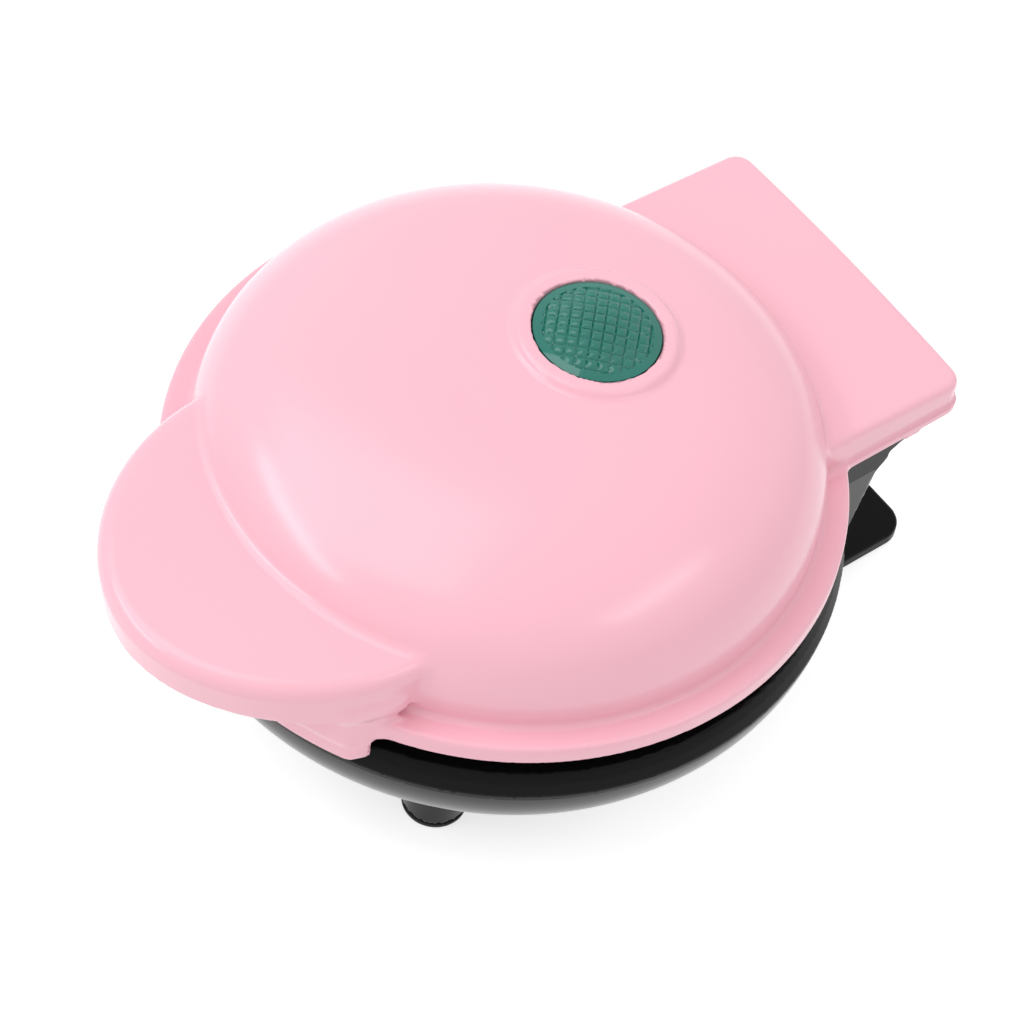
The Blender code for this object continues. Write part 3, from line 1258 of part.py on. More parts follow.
def make_terminal_block(look):
    """Two-pole block on the bowl's floor, with two wire bores and a screw hole."""
    low = TERMINAL_BOTTOM
    half = TERMINAL_LENGTH / 2
    wide = TERMINAL_WIDTH / 2
    block = box("terminal_block", (-half, TERMINAL_Y - wide, low), (half, TERMINAL_Y + wide, TERMINAL_TOP))
    holes = [rod("screw_hole", SHANK_HOLE, low - OVERRUN, TERMINAL_TOP + OVERRUN, 0, TERMINAL_Y)]
    for side in (-1, 1):
        bore = rod("bore", TERMINAL_BORE, -wide - OVERRUN, wide + OVERRUN)
        transform(bore, Matrix.Rotation(pi / 2, 4, "X"))
        holes.append(move(bore, (side * half * TERMINAL_POLE_SHARE, TERMINAL_Y, low + TERMINAL_HEIGHT / 2)))
    cut(block, gather("terminal_holes", holes))
    return dress(block, look)


def make_leads(look):
    """Sleeved leads. The two at the hinge meet end to end on its axis, so that it only twists them."""
    wire = LEAD_RADIUS
    pole_x = TERMINAL_LENGTH / 2 * TERMINAL_POLE_SHARE
    pole_y = TERMINAL_Y + TERMINAL_WIDTH / 2 + GAP
    pole_z = TERMINAL_BOTTOM + TERMINAL_HEIGHT / 2
    run = WIRE_WINDOW_WIDTH * LEAD_RUN_SHARE
    wall = NECK_FOOT_REAR - NECK_WALL
    step = BASE_RIM_TOP - 2 * BOWL_WALL
    base_knots = [(pole_x, pole_y, pole_z), (pole_x, pole_y + 3 * wire, pole_z),
                  (pole_x, NECK_FRONT - wire, pole_z + 2 * wire),
                  (run, wall - 4 * wire, pole_z + 7 * wire), (run, wall - 2 * wire, step - 2 * wire),
                  (run, wall + wire / 2, step + 1.5 * wire), (run, NECK_REAR, NECK_TOP - wire),
                  (run, HINGE_Y - 2.5 * wire, HINGE_Z - 1.8 * wire), (run, HINGE_Y, HINGE_Z),
                  (run / 2, HINGE_Y, HINGE_Z), (GAP / 2, HINGE_Y, HINGE_Z)]
    window_z = BLOCK_REAR_TOP - BLOCK_WALL - SINK - WIRE_WINDOW_HEIGHT / 2
    shield_z = UPPER_FACE + SHIELD_FAR
    over = thermostat_base() + GAP + THERMOSTAT_HEIGHT + GAP + wire
    lid_knots = [(-GAP / 2, HINGE_Y, HINGE_Z), (-run / 2, HINGE_Y, HINGE_Z), (-run, HINGE_Y, HINGE_Z),
                 (-run, HINGE_Y - 2.5 * wire, HINGE_Z + 1.2 * wire), (-run, LID_RADIUS + wire, window_z),
                 (-run, DOME_RADIUS - 2 * LID_WALL, window_z),
                 (-run, SHIELD_RADIUS + 3 * wire, window_z + 2 * wire),
                 (-run, SHIELD_RADIUS + 2 * wire, shield_z - wire),
                 (-run, SHIELD_RADIUS, shield_z + 2 * wire), (-run / 2, SHIELD_RADIUS - 5 * wire, over),
                 (0, ELEMENT_CIRCLE, over), (0, THERMOSTAT_RADIUS + wire, over),
                 (0, THERMOSTAT_CAP_RADIUS + GAP, over)]
    return (dress(tube("base_harness", smooth_path(base_knots, 3), wire), look),
            dress(tube("lid_harness", smooth_path(lid_knots, 3), wire), look))


def dress(obj, look):
    """Give a finished piece its material and smooth shading."""
    data = obj.data
    data.materials.clear()
    data.materials.append(look)
    if obj.type == "MESH":
        data.shade_smooth()
        data.set_sharp_from_angle(angle=SMOOTH_ANGLE)
    return obj


def empty(name, place):
    """A guide that carries one body."""
    guide = bpy.data.objects.new(name, None)
    guide.location = place
    bpy.context.collection.objects.link(guide)
    return guide


def carry(guide, pieces, offset):
    """Parent a body's pieces to its guide."""
    for piece in pieces:
        piece.parent = guide
        piece.location = offset


def main():
    clear_scene()
    pink = material("pink_gloss", (0.93, 0.50, 0.58), 0.18)
    black = material("black_gloss", (0.012, 0.012, 0.013), 0.22)
    coated = material("nonstick_coating", (0.020, 0.020, 0.022), 0.42)
    steel = material("steel", (0.62, 0.62, 0.63), 0.32, 1.0)
    tinned = material("tinned_sheet", (0.70, 0.70, 0.69), 0.40, 1.0)
    sheath = material("element_sheath", (0.24, 0.22, 0.20), 0.50, 1.0)
    teal = material("teal_lens", (0.01, 0.42, 0.36), 0.12, 0.0, 0.6)
    glass = material("lamp_glass", (0.95, 0.62, 0.35), 0.08, 0.0, 0.8)
    cream = material("cream_nylon", (0.80, 0.77, 0.66), 0.50)
    brown = material("brown_resin", (0.12, 0.05, 0.03), 0.45)
    rubber = material("black_rubber", (0.018, 0.018, 0.018), 0.80)
    sleeve = material("glass_sleeving", (0.82, 0.80, 0.74), 0.85)

    lid = [make_lid_cover(pink), make_indicator_lens(teal), make_lens_retainer(cream),
           make_indicator_lamp(glass), make_upper_plate(coated),
           make_element("upper_heating_element", False, sheath),
           make_shield("upper_heat_shield", False, tinned), make_thermostat(brown),
           make_thermal_fuse(steel), make_fuse_clip(tinned)]
    lid += make_screws(steel)

    base = [make_base_shell(black), make_lower_plate(coated),
            make_element("lower_heating_element", True, sheath),
            make_shield("lower_heat_shield", True, tinned), make_stand_plate(black),
            make_hinge_pin("hinge_pin_right", 1, steel), make_hinge_pin("hinge_pin_left", -1, steel),
            make_cord_gland(rubber), make_terminal_block(cream)]
    base += [make_foot_pad(index, rubber) for index in range(len(FOOT_SIDES))]
    base += make_base_screws(steel)

    base_harness, lid_harness = make_leads(sleeve)
    base.append(base_harness)
    lid.append(lid_harness)

    carry(empty("base_frame", (0, LID_AXIS_Y, 0)), base, (0, 0, 0))
    carry(empty("lid_pivot", (0, LID_AXIS_Y + HINGE_Y, HINGE_Z)), lid, (0, -HINGE_Y, -HINGE_Z))


main()
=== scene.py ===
"""Looks of the mini waffle maker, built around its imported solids.

The moulded and cast pieces are made again here as smooth surfaces with real fillets. Each is a
signed field, in millimetres about the lid's vertical axis, that is turned into a fine mesh.
"""

from math import atan2, cos, hypot, pi, radians, sin, sqrt

import bpy
import numpy as np
from mathutils import Matrix, Vector


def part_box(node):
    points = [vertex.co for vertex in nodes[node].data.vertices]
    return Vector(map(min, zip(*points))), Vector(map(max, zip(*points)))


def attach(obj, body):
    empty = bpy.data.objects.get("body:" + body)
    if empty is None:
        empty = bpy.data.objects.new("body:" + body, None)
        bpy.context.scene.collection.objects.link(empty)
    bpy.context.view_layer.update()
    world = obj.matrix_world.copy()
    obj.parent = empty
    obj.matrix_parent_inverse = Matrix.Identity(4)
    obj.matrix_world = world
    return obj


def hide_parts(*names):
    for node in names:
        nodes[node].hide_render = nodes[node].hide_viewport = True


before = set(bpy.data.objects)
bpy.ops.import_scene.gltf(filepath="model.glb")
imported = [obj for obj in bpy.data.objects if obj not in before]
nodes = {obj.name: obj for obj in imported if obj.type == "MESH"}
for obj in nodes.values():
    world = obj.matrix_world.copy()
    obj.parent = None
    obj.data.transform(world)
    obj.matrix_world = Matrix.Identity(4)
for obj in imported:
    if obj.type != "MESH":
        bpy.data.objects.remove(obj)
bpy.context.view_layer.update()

MM = 0.001
LID_AXIS_Y = 1.0

# Hinge, shared by the lid and the base, in millimetres as all that follows
HINGE_Y = 70.5
HINGE_Z = 43.8
PIN_RADIUS = 1.8

# Screws, shared by the plates and the base
POST_CIRCLE = 40.0
POST_ANGLES = (-90, 10, 170)
THREAD_RADIUS = 1.55
HEAD_RADIUS = 2.8


# Signed fields: negative inside

def blend(a, b, k):
    """Union with a round fillet of radius k."""
    return np.maximum(k, np.minimum(a, b)) - np.hypot(np.maximum(k - a, 0), np.maximum(k - b, 0))


def meet(a, b, k):
    """Intersection with an edge rounded to radius k."""
    return np.minimum(-k, np.maximum(a, b)) + np.hypot(np.maximum(a + k, 0), np.maximum(b + k, 0))


def cut(a, b, k):
    """a without b, with the edge rounded to radius k."""
    return meet(a, -b, k)


def common(first, *others):
    """Intersection with sharp edges."""
    for other in others:
        first = np.maximum(first, other)
    return first


def without(a, b):
    """a without b, with sharp edges."""
    return np.maximum(a, -b)


def slab(v, middle, half):
    """The space between two parallel planes."""
    return np.abs(v - middle) - half


def pair(x, middle, half):
    """Two slabs, one on each side of the middle plane."""
    return slab(np.abs(x), middle, half)


def around(x, y, circle, angle):
    """Distance from a vertical line that stands on a circle about the axis."""
    return np.hypot(x - circle * cos(radians(angle)), y - circle * sin(radians(angle)))


def rounded_rect(u, v, half_u, half_v, radius):
    """Distance to a rectangle with rounded corners."""
    qu = np.abs(u) - half_u + radius
    qv = np.abs(v) - half_v + radius
    return np.minimum(np.maximum(qu, qv), 0) + np.hypot(np.maximum(qu, 0), np.maximum(qv, 0)) - radius


def polygon(u, v, points):
    """Exact signed distance to a closed polygon."""
    nearest = np.full(u.shape, np.inf)
    inside = np.zeros(u.shape, bool)
    for (au, av), (bu, bv) in zip(points, points[1:] + points[:1]):
        du, dv = bu - au, bv - av
        pu, pv = u - au, v - av
        t = np.clip((pu * du + pv * dv) / (du * du + dv * dv), 0, 1)
        nearest = np.minimum(nearest, (pu - t * du) ** 2 + (pv - t * dv) ** 2)
        if av != bv:
            crosses = (av > v) != (bv > v)
            inside ^= crosses & (u < au + (v - av) * du / dv)
    return np.where(inside, -1, 1) * np.sqrt(nearest)


def superellipse(a, b, half_a, half_b, power):
    """First-order distance to a superellipse in the quadrant a, b >= 0."""
    tiny, deepest = 1e-4, -25
    a = np.maximum(a, 0) / half_a
    b = np.maximum(b, 0) / half_b
    k = np.maximum((a ** power + b ** power) ** (1 / power), tiny)
    slope = np.hypot(a ** (power - 1) / half_a, b ** (power - 1) / half_b) * k ** (1 - power)
    return np.maximum((k - 1) / np.maximum(slope, tiny), deepest)


def arc(cu, cv, radius, start, end, steps):
    """Points along a round stretch of an outline."""
    turns = [start + (end - start) * i / steps for i in range(steps + 1)]
    return [(cu + radius * cos(turn), cv + radius * sin(turn)) for turn in turns]


# Meshes from fields

SHORTEST = 1e-9


def add_object(name, data):
    obj = bpy.data.objects.new(name, data)
    bpy.context.scene.collection.objects.link(obj)
    return obj


def crossing_points(f):
    """The cells that the surface passes through, and the mean of its crossings on their edges."""
    corners = [(i, j, k) for i in (0, 1) for j in (0, 1) for k in (0, 1)]
    n = [s - 1 for s in f.shape]

    def part(c):
        return f[c[0]:c[0] + n[0], c[1]:c[1] + n[1], c[2]:c[2] + n[2]]

    below = sum((part(c) < 0).astype(np.int8) for c in corners)
    active = (below > 0) & (below < len(corners))
    cells = np.argwhere(active)
    values = {c: part(c)[active] for c in corners}
    total = np.zeros((len(cells), 3))
    count = np.zeros(len(cells))
    for c in corners:
        for axis in range(3):
            if c[axis]:
                continue
            d = tuple(1 if i == axis else c[i] for i in range(3))
            fa, fb = values[c], values[d]
            hit = (fa < 0) != (fb < 0)
            t = np.where(hit, fa / np.where(hit, fa - fb, 1), 0)
            place = np.array(c, float) + np.outer(t, np.eye(3)[axis])
            total += place * hit[:, None]
            count += hit
    return active, cells + total / count[:, None]


def crossing_quads(f, active):
    """One quad round each edge of the grid that the surface crosses."""
    index = np.full(active.shape, -1)
    index[active] = np.arange(np.count_nonzero(active))
    quads = []
    for axis, (b, c) in enumerate([(1, 2), (2, 0), (0, 1)]):
        near = [slice(1, -1)] * 3
        near[axis] = slice(0, -1)
        far = list(near)
        far[axis] = slice(1, None)
        fa, fb = f[tuple(near)], f[tuple(far)]
        for outward in (True, False):
            mask = ((fa < 0) & (fb >= 0)) if outward else ((fa >= 0) & (fb < 0))
            at = np.argwhere(mask)
            at[:, b] += 1
            at[:, c] += 1
            ring = []
            for db, dc in ((1, 1), (0, 1), (0, 0), (1, 0)):
                q = at.copy()
                q[:, b] -= db
                q[:, c] -= dc
                ring.append(index[q[:, 0], q[:, 1], q[:, 2]])
            quad = np.stack(ring, 1)
            quads.append(quad if outward else quad[:, ::-1])
    return np.concatenate(quads)


def gradient(field, points):
    step_size = 0.02
    slope = np.empty_like(points)
    for axis in range(3):
        step = np.zeros(3)
        step[axis] = step_size
        slope[:, axis] = (field(*(points + step).T) - field(*(points - step).T)) / (2 * step_size)
    return slope


def drawn_to_surface(field, points, cell):
    """Points moved onto the surface by a few short steps."""
    passes, least_slope, longest_step = 4, 0.2, 0.5 * cell
    for _ in range(passes):
        slope = gradient(field, points)
        move = (field(*points.T) / np.maximum((slope ** 2).sum(1), least_slope))[:, None] * slope
        size = np.linalg.norm(move, axis=1)[:, None]
        points = points - move * np.minimum(1, longest_step / np.maximum(size, SHORTEST))
    return points


def net(name, field, low, high, cell):
    """Fine closed mesh on a field's zero surface, with vertices and normals taken from the field."""
    tiny = 1e-6
    axes = [np.arange(a, b + cell, cell) for a, b in zip(low, high)]
    grid = np.meshgrid(*axes, indexing="ij")
    f = field(*grid)
    f = np.where(np.abs(f) < tiny, tiny, f)
    active, crossings = crossing_points(f)
    quads = crossing_quads(f, active)
    points = drawn_to_surface(field, np.array(low) + crossings * cell, cell)
    normals = gradient(field, points)
    normals /= np.maximum(np.linalg.norm(normals, axis=1)[:, None], SHORTEST)

    mesh = bpy.data.meshes.new(name)
    mesh.from_pydata(((points + (0, LID_AXIS_Y, 0)) * MM).tolist(), [], quads.tolist())
    mesh.shade_smooth()
    mesh.normals_split_custom_set_from_vertices(normals.tolist())
    return add_object(name, mesh)


# Dome and flange of the lid

LID_RADIUS = 62.5
FLANGE_LOW = 41.3
FLANGE_TOP = 45.5
FLANGE_EDGE = 0.85
DOME_RADIUS = 57.5
DOME_FOOT = 45.98
DOME_RISE = 25.6
DOME_POWER = 2.9
DOME_CUT = 44.5
DOME_FILLET = 1.2
LID_WALL = 2.2


def dome_height(r):
    return DOME_RISE * (1 - (r / DOME_RADIUS) ** DOME_POWER) ** (1 / DOME_POWER)


def dome_and_flange(r, z):
    dome = superellipse(r, z - DOME_FOOT, DOME_RADIUS, DOME_RISE, DOME_POWER)
    half = (FLANGE_TOP - FLANGE_LOW) / 2
    flange = rounded_rect(r, z - FLANGE_LOW - half, LID_RADIUS, half, FLANGE_EDGE)
    return blend(common(dome, DOME_CUT - z), flange, DOME_FILLET)


def dome_inside(r, z):
    return superellipse(r, z - DOME_FOOT, DOME_RADIUS - LID_WALL, DOME_RISE - LID_WALL, DOME_POWER)


# Handle and the skirt under it

HANDLE_HALF = 34.9
HANDLE_CENTRE = 43.5
HANDLE_DEPTH = 39.2
HANDLE_POWER = 1.9
HANDLE_TOP = 57.9
HANDLE_LOW = 48.1
HANDLE_EDGE = 3.0
HANDLE_LOW_EDGE = 0.8
HANDLE_BACK = -38
HANDLE_DRAFT = 0.9
DRAFT_START = -60
DRAFT_RUN = 15
SKIRT_RADIUS = 66.4
SKIRT_THICK = 3.1
SKIRT_LOW = 36.6
SKIRT_HIGH = 51.0
SKIRT_SPREAD = 0.6
SKIRT_EDGE = 0.8
SKIRT_END_EDGE = 0.7
ROOT_RADIUS = 63.0
ROOT_HALF = 3.2
ROOT_STEP = 0.1
ROOT_EDGE = 0.3
ROOT_FILLET = 1.4
HANDLE_TO_SKIRT = 1.8
HANDLE_TO_DOME = 1.2
POCKET_WALL = 3.6
POCKET_TOP = 54.9
POCKET_INNER = 71.0
POCKET_EDGE = 0.5
RIB_X = 7.0
RIB_HALF = 0.8
RIB_END = -40


def handle_outline(x, y):
    return superellipse(np.abs(x), -HANDLE_CENTRE - y, HANDLE_HALF, HANDLE_DEPTH, HANDLE_POWER)


def handle_slab(outline, y, z):
    edge_z = HANDLE_TOP - HANDLE_EDGE
    depth = np.clip((edge_z - z) / (edge_z - HANDLE_LOW), 0, 1)
    draft = depth * HANDLE_DRAFT * np.clip((DRAFT_START - y) / DRAFT_RUN, 0, 1)
    slab_field = meet(outline + draft, z - HANDLE_TOP, HANDLE_EDGE)
    slab_field = meet(slab_field, HANDLE_LOW - z, HANDLE_LOW_EDGE)
    return common(slab_field, y - HANDLE_BACK)


def skirt(outline, r, y, z):
    """Wall that hangs from the handle in front of the gap, with its root on the flange."""
    wall = rounded_rect(r - SKIRT_RADIUS + SKIRT_THICK / 2, z - (SKIRT_LOW + SKIRT_HIGH) / 2,
                        SKIRT_THICK / 2, (SKIRT_HIGH - SKIRT_LOW) / 2, SKIRT_EDGE)
    root_low = FLANGE_LOW + ROOT_STEP
    root = rounded_rect(r - ROOT_RADIUS, z - (root_low + SKIRT_HIGH) / 2, ROOT_HALF,
                        (SKIRT_HIGH - root_low) / 2, ROOT_EDGE)
    spread = np.clip((HANDLE_LOW - z) / (HANDLE_LOW - SKIRT_LOW), 0, 1) * SKIRT_SPREAD
    wall = meet(blend(wall, root, ROOT_FILLET), outline - spread, SKIRT_END_EDGE)
    return common(wall, y)


def handle_pocket(outline, x, y, z, r):
    """Hollow under the handle, in three bays between two ribs."""
    pocket = common(outline + POCKET_WALL, z - POCKET_TOP, POCKET_INNER - r)
    return common(pocket, -pair(x, RIB_X, RIB_HALF), y - RIB_END)


# Hinge block at the rear of the lid

BLOCK_HALF = 33.3
BLOCK_LOW = 43.5
BLOCK_FRONT = 30.0
BLOCK_REAR = 80.45
BLOCK_REAR_TOP = 51.0
BLOCK_SLOPE = 0.065
BLOCK_CROWN = 1.2
BLOCK_CORNER = 3.6
BLOCK_EDGE = 1.4
BLOCK_LOW_EDGE = 0.4
BLOCK_TO_DOME = 1.1
LIP_OUT = 0.7
LIP_HEIGHT = 2.2
LIP_EDGE = 0.35
LIP_FILLET = 0.3
HOLLOW_HALF_X = 31.4
HOLLOW_MIDDLE_Y = 62.0
HOLLOW_HALF_Y = 16.9
HOLLOW_TOP = 49.4
KEPT_INNER = 58.6
KEPT_OUTER = 63.1
WINDOW_HALF_X = 10
WINDOW_Y, WINDOW_HALF_Y = 57, 6.5
WINDOW_Z, WINDOW_HALF_Z = 46.9, 1.9
BOSS_RADIUS = 3.8
BOSS_X, BOSS_HALF = 30.0, 2.6
BOSS_HOLE_X, BOSS_HOLE_HALF = 29.0, 2.0


def hinge_block(x, y, z):
    crown = BLOCK_CROWN * (1 - (x / BLOCK_HALF) ** 2)
    top = BLOCK_REAR_TOP + (BLOCK_REAR - y) * BLOCK_SLOPE + crown
    middle = (BLOCK_FRONT + BLOCK_REAR) / 2
    side = rounded_rect(x, y - middle, BLOCK_HALF, BLOCK_REAR - middle, BLOCK_CORNER)
    block = meet(meet(side, z - top, BLOCK_EDGE), BLOCK_LOW - z, BLOCK_LOW_EDGE)
    lip = meet(side - LIP_OUT, z - BLOCK_LOW - LIP_HEIGHT, LIP_EDGE)
    lip = meet(lip, BLOCK_LOW - z, BLOCK_LOW_EDGE)
    return blend(block, lip, LIP_FILLET)


def block_hollow(x, y, z, r):
    """Space for the neck and its lugs, which leaves the flange's ring standing."""
    hollow = common(np.abs(x) - HOLLOW_HALF_X, slab(y, HOLLOW_MIDDLE_Y, HOLLOW_HALF_Y), z - HOLLOW_TOP)
    kept = np.minimum(r - KEPT_INNER, common(r - KEPT_OUTER, z - FLANGE_TOP))
    return without(hollow, kept)


def lead_window(x, y, z):
    return common(np.abs(x) - WINDOW_HALF_X, slab(y, WINDOW_Y, WINDOW_HALF_Y),
                  slab(z, WINDOW_Z, WINDOW_HALF_Z))


def pin_distance(y, z):
    return np.hypot(y - HINGE_Y, z - HINGE_Z)


# Collar of the lens

LENS_Y = 16.7
LENS_RADIUS = 11.6
LENS_GAP = 0.3
LENS_HOLE_DEPTH = 6
LENS_HOLE_EDGE = 0.25
COLLAR_RADIUS = 14.6
COLLAR_RISE = 0.68
COLLAR_EDGE = 0.7
COLLAR_DEPTH = 4
COLLAR_FILLET = 1.6
LENS_RECESS = 0.3
SOCKET_RADIUS = 13.5
SOCKET_TOP = -2.7
SOCKET_LOW = -11

LENS_LEAN = atan2(dome_height(LENS_Y + COLLAR_RADIUS) - dome_height(LENS_Y - COLLAR_RADIUS),
                  2 * COLLAR_RADIUS)
LENS_RIM = DOME_FOOT + dome_height(LENS_Y) + COLLAR_RISE - LENS_RECESS


def lens_axes(x, y, z):
    """Distance from the lens's own axis, and height above its rim."""
    dy, dz = y - LENS_Y, z - LENS_RIM
    c, s = cos(LENS_LEAN), sin(LENS_LEAN)
    return np.hypot(x, dy * c + dz * s), -dy * s + dz * c


def lens_collar(ring, w):
    return common(meet(ring - COLLAR_RADIUS, w - LENS_RECESS, COLLAR_EDGE), -COLLAR_DEPTH - w)


def lid_field(x, y, z):
    r = np.hypot(x, y)
    ring, w = lens_axes(x, y, z)
    outline = handle_outline(x, y)
    handle = blend(handle_slab(outline, y, z), skirt(outline, r, y, z), HANDLE_TO_SKIRT)
    body = blend(dome_and_flange(r, z), handle, HANDLE_TO_DOME)
    body = blend(body, hinge_block(x, y, z), BLOCK_TO_DOME)
    body = blend(body, lens_collar(ring, w), COLLAR_FILLET)
    body = without(body, dome_inside(r, z))
    body = cut(body, common(ring - LENS_RADIUS - LENS_GAP, -LENS_HOLE_DEPTH - w), LENS_HOLE_EDGE)
    body = without(body, common(ring - SOCKET_RADIUS, w - SOCKET_TOP, SOCKET_LOW - w))
    body = without(body, block_hollow(x, y, z, r))
    body = without(body, lead_window(x, y, z))
    pin = pin_distance(y, z)
    body = np.minimum(body, common(pin - BOSS_RADIUS, pair(x, BOSS_X, BOSS_HALF)))
    body = without(body, common(pin - PIN_RADIUS, pair(x, BOSS_HOLE_X, BOSS_HOLE_HALF)))
    return cut(body, handle_pocket(outline, x, y, z, r), POCKET_EDGE)


# Bowl and band of the base

BOWL_CENTRE = 33.08
BOWL_LEVEL = 34.0
BOWL_HALF = 30.6
BOWL_DEPTH = 26.0
BOWL_POWER = 2.0
BOWL_CUT = 32.8
BOWL_WALL = 2.2
BAND = [(30, 32.3), (63.15, 32.3), (63.35, 33.0), (62.42, 34.95), (61.4, 36.65), (30, 36.65)]
BAND_ROUND = 0.35
BAND_FILLET = 0.15
# BAND_LOW and BAND_INNER bound the band's faces that take the painted shade
BAND_LOW = 32.0
BAND_INNER = 57.0
MOUTH_RADIUS = 55.5
MOUTH_LOW = 30

# Neck, with its foot, its hollow, the slot for the leads, and the lugs of the hinge

NECK_HALF = 31.0
NECK_TOP = 39.4
NECK_LOW = 4.1
NECK_FRONT = 48.0
NECK_TAPER = 1.2
NECK_EDGE = 0.8
NECK_FILLET = 1.0
FOOT_ARC = (65.2, 7.1, 3.0)
SWEEP_ARC = (72.33, 28.03, 7.0)
ARC_STEPS = 8
NECK_LINE = ([(NECK_FRONT, NECK_LOW)] + arc(*FOOT_ARC, -pi / 2, -pi, ARC_STEPS)
             + [(62.5, 12.0), (64.6, 24.0), (65.4, 29.0)]
             + arc(*SWEEP_ARC, radians(172), radians(132), ARC_STEPS)[1:]
             + [(67.9, 34.0), (68.0, 35.4), (69.6, 36.5), (73.3, 38.3), (74.0, NECK_TOP),
                (NECK_FRONT, NECK_TOP)])
SEAT_RADIUS = 60.57
SEAT_LOW = 36.4
NECK_HOLLOW_HALF = 27.2
NECK_HOLLOW_FRONT = 50.6
NECK_HOLLOW_REAR = 59.6
NECK_HOLLOW_TOP = 34.2
LEAD_SLOT = [(57.0, 32.6), (61.0, 32.6), (66.6, 36.6), (69.0, 38.1), (69.0, 40.4), (62.5, 40.4),
             (57.0, 33.6)]
LEAD_SLOT_HALF = 10
LUG_RADIUS = 5.3
LUG_HALF_Y = 4.5
LUG_LOW = 38.8
LUG_X, LUG_HALF_X = 25.1, 2.0
GLAND_Z = 17.0
GLAND_RADIUS = 4.9
GLAND_FRONT = 51
SCREW_HOLE_TOP = 17
SCREW_HOLE_EDGE = 0.25

# Feet

FOOT_X = 30.0
FOOT_Y = 33.0
FOOT_SIGNS = ((1, 1), (1, -1), (-1, 1), (-1, -1))
FOOT_RADIUS = 6.4
FOOT_LOW = 1.8
FOOT_HIGH = 17.0
FOOT_TAPER = 0.4
TAPER_TOP, TAPER_RUN = 14.6, 12.8
FOOT_EDGE = 0.3
FOOT_FILLET = 1.8
STUD_HOLE_RADIUS = 2.9
STUD_HOLE_TOP = 6.1
PAD_RADIUS = 6.0
PAD_TOP = 1.5
PAD_EDGE = 1.1
STUD_RADIUS = 2.6
STUD_MIDDLE, STUD_HALF = 3.2, 2.6


def foot_post(ring, z):
    taper = FOOT_TAPER * np.clip((TAPER_TOP - z) / TAPER_RUN, 0, 1)
    return common(meet(ring - FOOT_RADIUS + taper, FOOT_LOW - z, FOOT_EDGE), z - FOOT_HIGH)


def neck(x, y, z, r):
    half = NECK_HALF - NECK_TAPER * (NECK_TOP - z) / (NECK_TOP - NECK_LOW)
    body = meet(polygon(y, z, NECK_LINE), np.abs(x) - half, NECK_EDGE)
    return without(body, common(r - SEAT_RADIUS, SEAT_LOW - z))


def hinge_lug(x, y, z):
    root = common(slab(y, HINGE_Y, LUG_HALF_Y), z - HINGE_Z)
    lug = np.minimum(pin_distance(y, z) - LUG_RADIUS, root)
    return common(lug, LUG_LOW - z, pair(x, LUG_X, LUG_HALF_X))


def base_field(x, y, z):
    r = np.hypot(x, y)
    feet = [np.hypot(x - sx * FOOT_X, y - sy * FOOT_Y) for sx, sy in FOOT_SIGNS]
    bowl = superellipse(r - BOWL_CENTRE, BOWL_LEVEL - z, BOWL_HALF, BOWL_DEPTH, BOWL_POWER)
    shell = blend(common(bowl, z - BOWL_CUT), polygon(r, z, BAND) - BAND_ROUND, BAND_FILLET)
    shell = blend(shell, neck(x, y, z, r), NECK_FILLET)
    for ring in feet:
        shell = blend(shell, foot_post(ring, z), FOOT_FILLET)

    shell = without(shell, common(np.abs(x) - NECK_HOLLOW_HALF, NECK_HOLLOW_FRONT - y,
                                  y - NECK_HOLLOW_REAR, z - NECK_HOLLOW_TOP))
    shell = without(shell, common(polygon(y, z, LEAD_SLOT), np.abs(x) - LEAD_SLOT_HALF))
    shell = without(shell, common(bowl + BOWL_WALL, z - BOWL_LEVEL))
    shell = without(shell, common(r - MOUTH_RADIUS, MOUTH_LOW - z))
    for ring in feet:
        shell = without(shell, common(ring - STUD_HOLE_RADIUS, z - STUD_HOLE_TOP))

    shell = np.minimum(shell, hinge_lug(x, y, z))
    shell = without(shell, pin_distance(y, z) - PIN_RADIUS)
    shell = without(shell, common(np.hypot(x, z - GLAND_Z) - GLAND_RADIUS, GLAND_FRONT - y))
    for angle in POST_ANGLES:
        head = around(x, y, POST_CIRCLE, angle) - HEAD_RADIUS
        shell = cut(shell, common(head, z - SCREW_HOLE_TOP), SCREW_HOLE_EDGE)
    return shell


def pad_field(x, y, z):
    """Round foot pad with its stud."""
    ring = np.hypot(x, y)
    disc = meet(common(ring - PAD_RADIUS, z - PAD_TOP), -z, PAD_EDGE)
    return np.minimum(disc, common(ring - STUD_RADIUS, slab(z, STUD_MIDDLE, STUD_HALF)))


# Plate at the foot of the neck

STAND_HALF = 30.3
STAND_FRONT = 47.0
STAND_REAR = 80.2
STAND_CORNER = 5.0
STAND_Z, STAND_HALF_Z = 2.2, 1.6
STAND_EDGE = 0.7
STAND_SCREW_X = 20.0
STAND_SCREW_Y = 55.4
STAND_HEAD_TOP = 2.3
STAND_HEAD_EDGE = 0.2


def stand_field(x, y, z):
    middle, half = (STAND_FRONT + STAND_REAR) / 2, (STAND_REAR - STAND_FRONT) / 2
    side = rounded_rect(x, y - middle, STAND_HALF, half, STAND_CORNER)
    plate = meet(side, slab(z, STAND_Z, STAND_HALF_Z), STAND_EDGE)
    for sign in (-1, 1):
        ring = np.hypot(x - sign * STAND_SCREW_X, y - STAND_SCREW_Y)
        plate = without(plate, ring - THREAD_RADIUS)
        plate = cut(plate, common(ring - HEAD_RADIUS, z - STAND_HEAD_TOP), STAND_HEAD_EDGE)
    return plate


# The cooking plates, drawn facing up with the rim's face at zero

